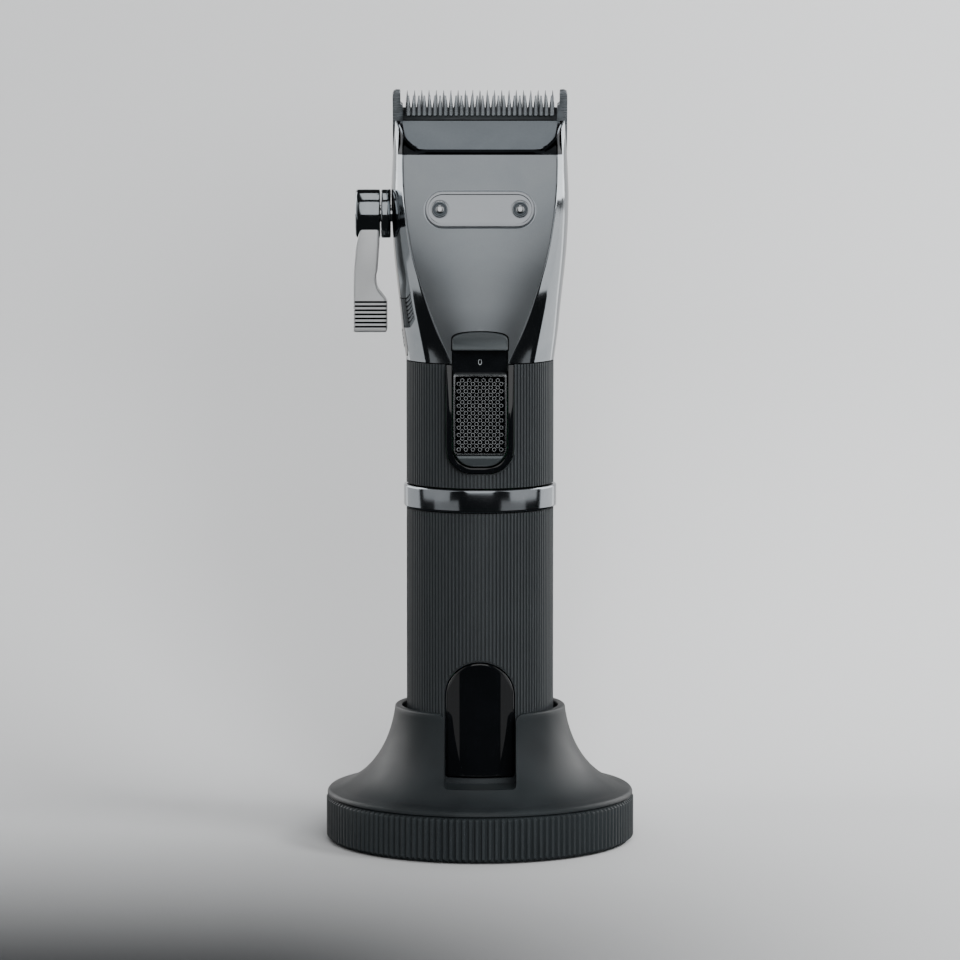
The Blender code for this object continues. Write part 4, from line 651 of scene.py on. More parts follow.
def makeStand():
    radius, top, collar = stand["radius"], stand["collarTop"], stand["collar"]
    cup, gap = stand["cup"], stand["gap"]
    skirt = radius - stand["rimWall"] - gap
    skirtLow = stand["rimTop"] - stand["skirtDepth"]
    inside = skirt - stand["wall"]
    inRound, outRound = 0.55, 0.8
    lipRound = (arc((cup + inRound, top - inRound), inRound, 180, 90, 5)
                + arc((collar - outRound, top - outRound), outRound, 90, 20, 5))
    shoulder = arc((radius - 1.6, stand["rimTop"] + 0.3), 1.35, 62, 6, 5)
    profile = (
        lipRound + flareCurve(0, 40)[1:-1] + shoulder
        + [(radius - 0.25, stand["rimTop"] + gap), (skirt, stand["rimTop"] + gap), (skirt, skirtLow),
           (inside, skirtLow), (inside, stand["cupLow"]), (cup, stand["cupLow"])]
    )
    shell = makeObject("standShell", turned(profile, stand["segments"]),
                       ["softTouchPlastic"])
    cupOut = cup + stand["wall"]
    roof = [p for p in flareCurve(stand["wall"], 24) if p[0] > cupOut]
    hollow = [(cupOut, skirtLow - 1), (cupOut, roof[0][1])] + roof
    hollow += [(inside, roof[-1][1]), (inside, skirtLow - 1)]
    room = makeObject("room", turned(hollow, 96))
    half = stand["notchHalf"] + stand["wall"]
    carve(room, [block((-half, -radius, stand["notchLow"] - stand["wall"]), (half, 0, top))])
    modifier = shell.modifiers.new("room", "BOOLEAN")
    modifier.solver = "EXACT"
    modifier.object = room
    applyAll(shell)
    discard(room)
    carve(shell, [prism(notchOutline(), -(radius + 1), frontCut, frontView)])
    show(shell, "stand", "soft_black", "stand_shell")

    # the knurled ring: a plain core, then pointed teeth bevelled at both ends
    depth, low, high = stand["toothDepth"], stand["rimLow"], stand["rimTop"]
    valley = radius - depth
    core = [(radius - stand["rimWall"], low), (valley - 0.3, low), (valley, low + 0.3),
            (valley, high - 0.3), (valley - 0.3, high), (radius - stand["rimWall"], high)]
    ring = makeObject("knurledRing", turned(core, stand["segments"]), ["softTouchPlastic"])
    mouth = stand["inletHalf"]
    carve(ring, [block((-mouth, 0, stand["inletLow"]), (mouth, 2 * radius, stand["inletHigh"]))])
    halfTooth = math.pi * valley / stand["teeth"] * 0.86  # a thin line is left between teeth
    tipHalf, foot = stand["tipHalf"], -stand["toothFoot"]
    start, full = stand["toothStart"], stand["toothFull"]  # each tooth rises out of the core between these
    layers = []
    for z, out in ((low + start, 0.0), (low + full, 1.0), (high - full, 1.0), (high - start, 0.0)):
        side = (depth - 0.06) * out
        layers.append(([(foot, -halfTooth), (side, -tipHalf), (depth * out, 0), (side, tipHalf),
                        (foot, halfTooth)], z))
    tooth = hide(makeObject("tooth", stacked(layers, topView)))
    runTree(ring, toothRingTree(), {"Shape": tooth, "Count": stand["teeth"], "Radius": valley * mm,
            "Gap Half": (mouth + 0.6) * mm, "Material": finish["softTouchPlastic"]}, 30)
    discard(tooth)
    show(ring, "stand", "soft_black", "knurled_rim")


makeStand()
print("stand shell and knurled ring made")

# Screws, all one shape in three sizes


def screwShape(radius, height, recess):  # a round domed head with a cross recess, facing +Z
    dome = [math.radians(t) for t in (25, 50, 70)]
    profile = [(0, 0), (radius, 0), (radius, height * 0.6)]
    profile += [(radius * math.cos(a), height * (0.6 + 0.4 * math.sin(a))) for a in dome] + [(0, height)]
    item = makeObject("screwBlank", turned(profile, 32))
    arm, deep = radius * 0.55, height - recess
    thin = 0.16 * arm
    bars = [block((-x, -y, deep), (x, y, height + 1)) for x, y in ((arm, thin), (thin, arm))]
    return hide(carve(item, bars))


def placeScrews(name, screw, start, step, turn, body, nodes):
    group = addRow(emptyPiece(name), screw, len(nodes), start, step, "brightSteel", 35, turn)
    show(group, body, "bright_steel", *nodes)


def makeBaseScrews():
    out, up = 21, 3.15
    for number, degrees in enumerate((30, 150, 270)):
        angle = math.radians(degrees)
        placeScrews(f"baseScrew{number + 1}", screwShape(2.6, 1.9, 0.9),
                    (out * math.cos(angle), out * math.sin(angle), up), (0, 0, 0), (math.pi, 0, angle),
                    "stand", [f"base_screw_{number + 1}"])


makeBaseScrews()

# Grip sleeves, ring and display

grip = {
    "radius": 19.5, "valley": 19.02, "bore": 17.5, "ribs": 123, "low": 15.3, "lowerTop": 89.2,
    "ringLow": 89.5, "ringTop": 95.5, "ringRadius": 20.25, "fillet": 0.6, "upperLow": 95.8,
    "upperTop": 128.2, "gap": 0.3,
}
display = {"half": 8.95, "low": 19.4, "high": 49.7, "proud": 0.2, "thick": 2.2, "edge": 0.35}
bezel = {"half": 8.75, "low": 99.9, "top": 128.2, "wall": 1.4, "roundness": 0.75, "front": 20.0}


def ribShape():  # one metre tall; the tree brings it to its length
    high, root = grip["radius"] - grip["valley"], -0.2
    half = [(root, 0.31), (high - 0.08, 0.25), (high, 0.16)]
    outline = [(x, -y) for x, y in half] + half[::-1]
    return hide(makeObject("rib", prism(outline, 0, 1 / mm, topView)))


def sleeve(name, low, high):
    profile = [(grip["valley"], low), (grip["valley"], high), (grip["bore"], high), (grip["bore"], low)]
    return makeObject(name, turned(profile, 2 * grip["ribs"]), ["ribbedPlastic"])


def makeGrip():
    rib, gap = ribShape(), grip["gap"]
    front = (-2 * grip["radius"], -6.5, frontView)
    lower = sleeve("lowerGrip", grip["low"], grip["lowerTop"])
    half = display["half"] + gap
    arch = rounded(-half, half, display["low"] - gap, display["high"] + gap, 1, half, 16)
    carve(lower, [prism(arch, *front)])
    sizes = {"Shape": rib, "Count": grip["ribs"], "Radius": grip["valley"] * mm,
             "Material": finish["ribbedPlastic"]}
    runTree(lower, ribTree("ribsOverArch", False), {
        **sizes, "Low": grip["low"] * mm, "High": (grip["lowerTop"] - 0.1) * mm, "Half": (half + 0.25) * mm,
        "Corner": (half + 0.25) * mm, "Centre": (display["high"] - display["half"] + 0.2) * mm}, 30)
    show(lower, "clipper", "soft_black", "lower_grip")

    upper = sleeve("upperGrip", grip["upperLow"], grip["upperTop"])
    half = bezel["half"] + gap
    corner = half * bezel["roundness"]
    window = rounded(-half, half, bezel["low"] - gap, grip["upperTop"] + 1, corner, 0.1, 12)
    carve(upper, [prism(window, *front)])
    runTree(upper, ribTree("ribsUnderBezel", True), {
        **sizes, "Low": (grip["upperLow"] + 0.1) * mm, "High": grip["upperTop"] * mm,
        "Half": (half + 0.25) * mm, "Corner": corner * mm,
        "Centre": (bezel["low"] - gap + corner - 0.25) * mm}, 30)
    show(upper, "clipper", "soft_black", "upper_grip")
    discard(rib)

    outer, fillet, low, high = grip["ringRadius"], grip["fillet"], grip["ringLow"], grip["ringTop"]
    profile = (
        [(grip["bore"], low)] + arc((outer - fillet, low + fillet), fillet, -90, 0, 6)
        + arc((outer - fillet, high - fillet), fillet, 0, 90, 6) + [(grip["bore"], high)]
    )
    ring = makeObject("trimRing", turned(profile, 256), ["ringNickel"], 50)
    show(ring, "clipper", "dark_chrome", "trim_ring")

    # the display lens follows the grip's round, with a softened rim
    half, low, high, edge = display["half"], display["low"], display["high"], display["edge"]
    outside = grip["radius"] + display["proud"]
    rows = []
    lens = bmesh.new()
    steps = ((0.0, outside - display["thick"]), (0.0, outside - edge), (edge * 0.3, outside - edge * 0.3),
             (edge, outside))
    for inset, radius in steps:
        outline = rounded(-half + inset, half - inset, low + inset, high - inset, 1 - inset * 0.5,
                          half - inset, 20)
        rows.append(addPoints(lens, [(x, -math.sqrt(radius * radius - x * x), z) for x, z in outline]))
    join(lens, rows, False)
    # both faces are filled in level strips, so the curve across stays true
    fillCurved(lens, rows[0], steps[0][1])
    fillCurved(lens, rows[-1], steps[-1][1])
    window = makeObject("displayWindow", lens, ["glossAcrylic"])
    show(window, "clipper", "gloss_black", "display_window")


def fillCurved(shape, row, radius):  # joins left and right of an outline with points on the round between
    pairs = {}
    for vert in row:
        pairs.setdefault(round(vert.co.z * 1e7), []).append(vert)
    levels = [sorted(found, key=lambda v: v.co.x) for _, found in sorted(pairs.items())]
    levels = [found for found in levels if len(found) >= 2 or found in (levels[0], levels[-1])]
    steps = 24
    lines = []
    for found in levels:
        left, right = found[0], found[-1]
        if left is right:
            lines.append([left] * (steps + 1))
            continue
        span = right.co.x - left.co.x
        across = [left.co.x + span * k / steps for k in range(1, steps)]
        middle = [shape.verts.new((x, -math.sqrt((radius * mm) ** 2 - x * x), left.co.z)) for x in across]
        lines.append([left, *middle, right])
    for line, above in zip(lines, lines[1:]):
        for k in range(steps):
            corners = []
            for vert in (line[k], line[k + 1], above[k + 1], above[k]):
                if vert not in corners:
                    corners.append(vert)
            if len(corners) > 2:
                shape.faces.new(corners)


makeGrip()
print("grip sleeves, ring and display made")

# Head casing

head = {
    "base": 128.5, "length": 62.8, "wall": 1.8, "seam": 3.0, "gap": 0.3, "edge": 0.3,
    # share of the length, half width, panel half, chamfer half, then front, edge, bend and back from the axis
    "stations": (
        (0.0, 19.6, 7.6, 13.4, 19.5, 17.9, 14.2, 19.5),
        (0.12, 20.6, 10.9, 15.4, 19.5, 17.6, 13.9, 19.4),
        (0.245, 21.4, 13.9, 17.3, 19.1, 17.0, 13.4, 19.1),
        (0.457, 22.8, 17.9, 19.8, 17.7, 15.9, 12.4, 17.8),
        (0.669, 23.4, 19.9, 21.2, 15.0, 13.9, 11.0, 14.8),
        (0.82, 23.1, 20.3, 21.6, 12.3, 11.6, 9.2, 13.0),
        (0.88, 22.9, 20.2, 21.5, 11.0, 10.5, 8.4, 12.5),
        (1.0, 22.3, 20.2, 21.3, 1.0, 0.8, 0.4, 12.0),
    ),
    "panelTop": 182.7, "noseLow": 184.1, "noseRise": 5.6, "riseFrom": 15.0,
    "riseTo": 21.4, "grooveDepth": 0.7, "hollow": (130, 182, 3),
    "hollowNose": [(183.76, -0.7, 1.4), (191.3, 1.1, 1.4)],  # height, set back, drop
}


def headSizes(z):  # a smooth curve through the stations, straight along the nose
    share = (z - head["base"]) / head["length"]
    rows = head["stations"]
    i = 0
    while i < len(rows) - 2 and rows[i + 1][0] < share:
        i += 1
    low, high = rows[i], rows[i + 1]
    span = high[0] - low[0]
    t = (share - low[0]) / span
    sizes = []
    for k in range(1, 8):
        a, b = low[k], high[k]
        if i >= 5 or not 0 <= t <= 1:
            sizes.append(a + (b - a) * t)
            continue
        slope = (b - a) / span
        before = (b - rows[i - 1][k]) / (high[0] - rows[i - 1][0]) if i else slope
        after = (rows[i + 2][k] - a) / (rows[i + 2][0] - low[0]) if i < 4 else slope
        h = t * t * (3 - 2 * t)
        sizes.append(a + (b - a) * h + span * (t * (1 - t) ** 2 * before - t * t * (1 - t) * after))
    return sizes


def headLoop(z, wall, columns, backOff=0.0, drop=0.0):
    wide, panel, chamfer, front, edge, bend, back = headSizes(z)
    across, behind = (wide - wall) / wide, (back - wall) / back
    ahead = (front - wall - backOff) / front if front > 5 else 1
    step = 0 if front > 5 else backOff
    power = 1 - 0.25 * (z - head["base"]) / head["length"]
    e = head["edge"]
    chamferLong = math.hypot(chamfer - panel, edge - bend)
    c = min(0.35, e / chamferLong)
    corner = Vector((panel, edge))
    second = Vector((chamfer, bend))
    half = []
    for kind, t in columns:
        if kind == "panel":
            x, y = (panel - e) * t, 0
            y = front - (front - edge) * (x / panel) ** 2
        elif kind == "chamfer":
            along = corner.lerp(second, c + (1 - 2 * c) * t)
            x, y = along
        elif kind == "edgeA":  # the rounded ridge between panel and chamfer
            x, y = (Vector((panel - e, front - (front - edge) * ((panel - e) / panel) ** 2)).lerp(corner, 0.5)
                    .lerp(corner.lerp(second, c / 2), 0.5))
        elif kind == "edgeB":
            beyond = Vector((chamfer + 0.3 * (wide - chamfer), bend * 0.88))
            x, y = second.lerp(corner, c / 2).lerp(beyond, 0.25)
        elif kind == "side":
            x, y = chamfer + (wide - chamfer) * (1 - (1 - t) ** 2.11), bend * (1 - t)
        else:
            a = math.pi / 2 * t
            x, y = wide * math.cos(a) ** power, -back * math.sin(a) ** power
        if y >= 0:
            half.append((x * across, -y * ahead + step))
        else:
            half.append((x * across, max(step, -y * behind)))
    half[-1] = (0, half[-1][1])
    loop = half + [(-x, y) for x, y in reversed(half[1:-1])]
    return [(x, y, z - drop) for x, y in loop]


fineColumns = (
    [("panel", t) for t in (0, 0.1, 0.2, 0.3, 0.4, 0.5, 0.6, 0.7, 0.8, 0.88, 0.95, 0.985, 1.0)]
    + [("edgeA", 0)] + [("chamfer", t) for t in (0, 0.12, 0.5, 0.88, 1.0)] + [("edgeB", 0)]
    + [("side", t) for t in (0.08, 0.16, 0.28, 0.42, 0.58, 0.75, 0.9)]
    + [("back", t) for t in (0.0, 0.05, 0.1, 0.17, 0.25, 0.33, 0.42, 0.5, 0.58, 0.67, 0.75, 0.83, 0.91, 1.0)]
)
roughColumns = (
    [("panel", t) for t in (0, 0.5, 1.0)] + [("chamfer", 0.0), ("chamfer", 1.0)]
    + [("side", t) for t in (0.3, 0.6)] + [("back", t) for t in (0.0, 0.15, 0.3, 0.5, 0.7, 0.85, 1.0)]
)


def noseRise(x):
    past = max(0.0, abs(x) - head["riseFrom"]) / (head["riseTo"] - head["riseFrom"])
    return head["noseRise"] * min(1.0, past) ** 2


def outsideHead(name, materials):
    top, ends = head["base"] + head["length"], len(fineColumns)
    kinds = [kind for kind, t in fineColumns] + [kind for kind, t in fineColumns[-2:0:-1]]
    count, low, high = len(kinds), head["base"], head["panelTop"]
    noseLevels = [head["noseLow"] + noseRise(x) for x, y, z in headLoop(184.0, 0, fineColumns)]
    body = [low + (high - low) * i / 52 for i in range(53)]
    groove, nose = (0.08, 0.2, 0.5, 0.8, 0.92, 1.0), (0.06, 0.2, 0.4, 0.6, 0.8, 0.92, 1.0)
    rows = [(z, 0, None) for z in body] + [(high, t, "groove") for t in groove]
    rows += [(top, t, "nose") for t in nose]
    front = ("panel", "edgeA", "chamfer")
    shape = bmesh.new()
    rings = []
    for level, t, part in rows:
        points = []
        for column in range(count):
            z, deep = level, 0.0
            if part == "nose":
                z = noseLevels[column] + (top - noseLevels[column]) * t
                deep = -0.5 * math.sin(math.pi * t)  # the nose swells a little
            elif part:
                z = level + (noseLevels[column] - level) * t
                deep = head["grooveDepth"] * math.sin(math.pi * t)
            if kinds[column] not in front:
                deep = 0.0
            x, y, _ = headLoop(min(z, top), 0, fineColumns)[column]
            points.append((x, y + deep * (0.8 if deep > 0 else 0.6), z - deep * 0.5 if deep > 0 else z))
        rings.append(addPoints(shape, points))
    join(shape, rings)
    shape.faces.ensure_lookup_table()
    for number, face in enumerate(shape.faces[:-2]):
        row, i = divmod(number, count)
        j = (i + 1) % count
        column = min(i if i < ends else count - i, j if 0 < j < ends else count - j)
        part = rows[row + 1][2]
        if part:
            # groove faces take the near-black painted-shade plating, nose faces the darker nose plating
            face.material_index = (2 if part == "groove" else 3) if kinds[column] in front else 0
        else:
            face.material_index = int(kinds[column] == "panel" == kinds[column + 1])
    bmesh.ops.triangulate(shape, faces=shape.faces)
    return makeObject(name, shape, materials)


def insideHead():
    levels = [(head["base"] - 0.01, 0.0, 1.0)] + [(z, 0.0, 0.0) for z in range(*head["hollow"])]
    levels += head["hollowNose"]
    shape = bmesh.new()
    join(shape, [addPoints(shape, headLoop(z, head["wall"], roughColumns, backOff, drop))
                 for z, backOff, drop in levels])
    bmesh.ops.triangulate(shape, faces=shape.faces)
    return shape


blades = {"lean": 18.0, "tipY": 2.0, "tipZ": 199.4, "pocketFront": 2.5, "pocketEnd": 31.6}


def bladePlace(down, front):  # down runs from the comb's tips, front stands off the cutting plane
    lean = math.radians(blades["lean"])
    return (blades["tipY"] + down * math.sin(lean) - front * math.cos(lean),
            blades["tipZ"] - down * math.cos(lean) - front * math.sin(lean))


badge = {
    "halfWidth": 14.4, "radius": 4.75, "z": 168.63, "deep": 0.8, "thick": 1.1, "screwX": 10.5,
    # the ring sizes mark where each stud is painted dark as shade
    "hole": 2.5, "shadedRingIn": 1.15, "shadedRingOut": 1.95,
    # how far in from its outline and how far below its front the plate's rim runs, ending at the field
    "rim": ((0.0, 0.25), (0.1, 0.08), (0.3, 0), (0.75, 0), (0.95, 0.16), (1.15, 0.18)),
    # radius and height, round the stud from its back to its crown
    "stud": ((0, 0), (2.2, 0), (2.2, 0.55), (2.0, 0.68), (1.75, 0.68), (1.6, 0.52), (1.45, 0.3), (1.3, 0.3),
             (1.2, 0.5), (0.85, 0.72), (0.45, 0.82), (0, 0.84)),
}
scale = {"low": 132.0, "high": 136.0, "marks": 5, "half": 1.4, "thick": 0.14, "slant": -18}
inlay = {"half": 6.0, "low": 129.4, "high": 174.5, "holeZ": 166.87, "hole": 2.5}
bridge = {"half": 7.25, "low": 132.2, "high": 136.9, "front": 21.0, "back": 17.4, "crown": 1.1}


def badgeTurn():
    z, tall = badge["z"], 2 * badge["radius"]
    low, high = (-headSizes(z + d)[3] for d in (-badge["radius"], badge["radius"]))
    lean = math.atan2(high - low, tall)
    middle = Vector((0, -headSizes(z)[3] * mm, z * mm))
    return Matrix.Translation(middle) @ Matrix.Rotation(-lean, 4, "X")


def bridgeOutline(margin):
    half, low, high = bridge["half"] + margin, bridge["low"] - margin, bridge["high"] + margin
    sides = bridge["high"] - bridge["crown"] + margin
    crown = [(half * math.cos(a), sides - 1.6 + (high - sides + 1.6) * math.sin(a) ** 0.55)
             for a in [math.pi * i / 24 for i in range(25)]]
    return [(-half, low), (half, low)] + crown


def inlayOutline(margin):
    half = inlay["half"] + margin
    return rounded(-half, half, inlay["low"] - margin, inlay["high"] + margin, 3, half * 0.95, 8)


def makeHead():
    turn = badgeTurn()
    above, end, front, behind = -10, blades["pocketEnd"], blades["pocketFront"], -12
    corners = ((above, front), (end, front), (end, behind), (above, behind))
    pocket = [bladePlace(*corner) for corner in corners]
    half, gap = head["seam"], head["gap"]
    skins = ["blackNickelPlate", "satinBlackNickel", "deepBlackNickel", "noseNickel"]
    wide, low, high = 60, 120, 210  # well past the casing on every side
    for name, node, seam in (
        ("headFront", "head_front", block((-wide, half - gap / 2, low), (wide, wide, high))),
        ("headBack", "head_back", block((-wide, -wide, low), (wide, half + gap / 2, high))),
    ):
        casing = outsideHead(name, skins)
        cuts = [insideHead(), prism(pocket, -wide, wide, sideView),
                prism(inlayOutline(gap), -2 * wide, sideCut, sideView), seam]
        if node == "head_front":
            slot = bridge["half"] + 0.1
            edge = pill(badge["halfWidth"] + gap, badge["radius"] + gap)
            recess = prism(edge, -5, badge["deep"], frontView)
            recess.transform(turn)
            cuts += [block((-slot, -wide, 125), (slot, frontCut, bridge["low"])),
                     prism(bridgeOutline(gap), -wide, frontCut, frontView), recess]
        carve(casing, cuts, sharp=32)
        show(casing, "clipper", "gunmetal" if node == "head_front" else "dark_chrome", node)

    strip = outsideHead("leverInlay", ["glossAcrylic"])
    carve(strip, [insideHead()])
    carve(strip, [prism(inlayOutline(0), -2 * wide, sideCut, sideView)], "INTERSECT")
    carve(strip, [rod((-2 * wide, 0, inlay["holeZ"]), (0, 0, inlay["holeZ"]), inlay["hole"], 24)])
    for slotNumber in range(len(strip.data.materials)):
        strip.data.materials[slotNumber] = finish["glossAcrylic"]
    show(strip, "clipper", "soft_black", "lever_track")

    # five slanted setting marks low on the inlay
    low, high, spans = scale["low"], scale["high"], scale["marks"] - 1
    half, thick = scale["half"], scale["thick"]
    mark = block((-0.05, -half, -thick), (0.05, half, thick))
    mark.transform(Matrix.Rotation(math.radians(scale["slant"]), 4, "X"))
    x = [-headSizes(z)[0] - 0.02 for z in (low, high)]
    marks = addRow(emptyPiece("settingMarks"), hide(makeObject("mark", mark)), scale["marks"],
                   (x[0], -1.0, low), ((x[1] - x[0]) / spans, 0, (high - low) / spans), "printedMark")
    show(marks, "clipper", "badge_metal")

    # the badge: a rounded rim, then a field sunk a hair below it, and no lettering
    back = badge["deep"] - gap
    front = back - badge["thick"]
    steps = [(0.0, back)] + [(inset, front + sunk) for inset, sunk in badge["rim"]]
    layers = [(pill(badge["halfWidth"] - inset, badge["radius"] - inset), depth) for inset, depth in steps]
    plate = makeObject("badgePlate", stacked(layers, frontView), ["badgeAluminium"], 30)
    holes = [rod((x, front - 1, 0), (x, back - gap, 0), badge["hole"], 40)
             for x in (-badge["screwX"], badge["screwX"])]
    carve(plate, holes, sharp=30)
    plate.data.transform(turn)
    show(plate, "clipper", "badge_metal", "badge_plate")
    for side, x in (("Left", -badge["screwX"]), ("Right", badge["screwX"])):
        stud = makeObject(f"badgeStud{side}", turned(badge["stud"], 48), ["brightSteel", "noseNickel"], 40)
        for face in stud.data.polygons:  # painted shade: the sunk ring round the dome takes the darker nose plating
            if badge["shadedRingIn"] * mm < face.center.xy.length < badge["shadedRingOut"] * mm:
                face.material_index = 1
        stud.data.transform(turn @ Matrix.Translation((x * mm, (back - 2 * gap + 0.35) * mm, 0))
                            @ Matrix.Rotation(math.radians(90), 4, "X"))
        show(stud, "clipper", "bright_steel", f"badge_screw_{side.lower()}")


makeHead()
print("head casing, inlay and badge made")

# Power switch

switch = {
    "half": 6.9, "plateLow": 104.8, "plateHigh": 125.8, "plateFront": 20.4, "plateBack": 19.5,
    "tailLow": 101.8, "tailHigh": 104.5, "ringsAcross": 7, "rows": 20, "pitch": 1.85, "rowPitch": 0.955,
    "ring": 0.46, "wire": 0.14, "sliderFront": 19.2, "sliderBack": 17.4, "markZ": 128.9, "markFront": 17.16,
    "sliderLow": 101.6, "tailFront": 20.4, "tailBack": 19.1,
}


def uOutline(half, low, high, steps=14):
    return rounded(-half, half, low, high, half * bezel["roundness"], 0.1, steps)


def makeSwitch():
    # a gloss U round the switch: its front edges are rolled over
    half, low, top, wall = bezel["half"], bezel["low"], bezel["top"], bezel["wall"]
    front = -bezel["front"]
    shape = prism(uOutline(half, low, top), front, (front + 4), frontView)
    frameRing = makeObject("switchBezel", shape, ["glossAcrylic"])
    inner = uOutline(half - wall, low + wall, top + 1)
    carve(frameRing, [prism(inner, (front - 1), (front + 5), frontView)])
    soften(frameRing, 0.42, 4, 50)
    show(frameRing, "clipper", "gloss_black", "switch_bezel")

    shape = prism(bridgeOutline(0), -bridge["front"], -bridge["back"], frontView)
    cap = makeObject("switchBridge", shape, ["mattGreyPlastic"])
    soften(cap, 0.4, 3, 50)
    show(cap, "clipper", "grey_plastic", "switch_bridge")

    # slider with its half-moon tail
    half = switch["half"]
    outline = uOutline(half, switch["sliderLow"], switch["plateHigh"])
    slider = makeObject("switchSlider", prism(outline, -switch["sliderFront"],
                        -switch["sliderBack"], frontView), ["mattGreyPlastic"])
    soften(slider, 0.2, 2, 50)
    inset = half - 0.2
    radius = inset * bezel["roundness"]
    rise = switch["tailHigh"] - switch["tailLow"]
    end = math.degrees(math.asin((rise - radius) / radius))
    right = arc((inset - radius, switch["tailLow"] + radius), radius, -90, end, 16)
    moon = right + [(-x, z) for x, z in reversed(right)]
    tail = makeObject("switchTail", prism(moon, -switch["tailFront"], -switch["tailBack"], frontView),
                      ["mattGreyPlastic"])
    soften(tail, 0.3, 3, 50)
    show(slider, "switch", "grey_plastic", "switch_slider")
    show(tail, "switch", "grey_plastic")

    # thumb plate: a bright rim round an etched field of small pressed rings
    low, high, front, back = (switch[k] for k in ("plateLow", "plateHigh", "plateFront", "plateBack"))
    steps = ((0.0, back), (0.0, front - 0.15), (0.12, front), (0.42, front), (0.52, front - 0.3))
    layers = [(rounded(-half + d, half - d, low + d, high - d, 1.2 - d, 0.6 - d * 0.5, 6), -y)
              for d, y in steps]
    shape = stacked(layers, frontView)
    plate = makeObject("thumbPlate", shape, ["brightSteel", "etchedField"], 30)
    for face in plate.data.polygons:
        if face.center.y > -(front - 0.28) * mm and face.normal.y < -0.9:
            face.material_index = 1
    show(plate, "switch", "bright_steel", "switch_plate")
    ring = bmesh.new()
    around, section = 14, 5
    loops = []
    for a in [2 * math.pi * i / around for i in range(around + 1)]:
        bends = [math.pi * k / (section - 1) for k in range(section)]
        reach = [switch["ring"] - switch["wire"] * math.cos(b) for b in bends]
        loops.append(loops[0] if len(loops) == around else addPoints(ring, [
            (r * math.cos(a), -0.26 * math.sin(b) - 0.02, r * math.sin(a)) for r, b in zip(reach, bends)]))
    join(ring, loops, False)
    shape = hide(makeObject("ring", ring))
    rings = emptyPiece("thumbRings")
    runTree(rings, staggerTree(), {
        "Shape": shape, "Across": switch["ringsAcross"], "Rows": switch["rows"],
        "Pitch": switch["pitch"] * mm, "Row Pitch": switch["rowPitch"] * mm,
        "Middle": (0, -(front - 0.29) * mm, (low + high) / 2 * mm), "Material": finish["brightSteel"]}, 60)
    discard(shape)
    show(rings, "switch", "bright_steel")

    # a small broken ring printed above the plate
    turns = [math.radians(112 + 316 * i / 28) for i in range(29)]
    outer, inner = ([(r * 0.62 * math.cos(a), switch["markZ"] + r * math.sin(a)) for a in turns]
                    for r in (0.78, 0.6))
    mark = prism(outer + inner[::-1], -switch["markFront"], 0.05 - switch["markFront"], frontView)
    item = makeObject("switchMark", mark, ["printedMark"])
    show(item, "clipper", "grey_plastic")


makeSwitch()
print("power switch made")

# Taper lever

lever = {
    "z": 166.87, "collarIn": 23.54, "collarOut": 26.04, "hubIn": 26.34, "hubOut": 32.84, "radius": 6.45,
    "armLow": 135.77, "armOut": 33.34, "armIn": 27.34, "tabIn": 24.54, "tab": 8.8, "depth": 5.0,
    "grooves": 7, "groove": 0.27, "screw": 2.9, "bore": 2.5,
}


def alongX(profile, segments, z):  # a turned shape whose axis lies along X; the profile is (radius, x)
    shape = turned(profile, segments)
    shape.transform(Matrix.Translation((0, 0, z * mm)) @ Matrix.Rotation(math.radians(-90), 4, "Y"))
    return shape


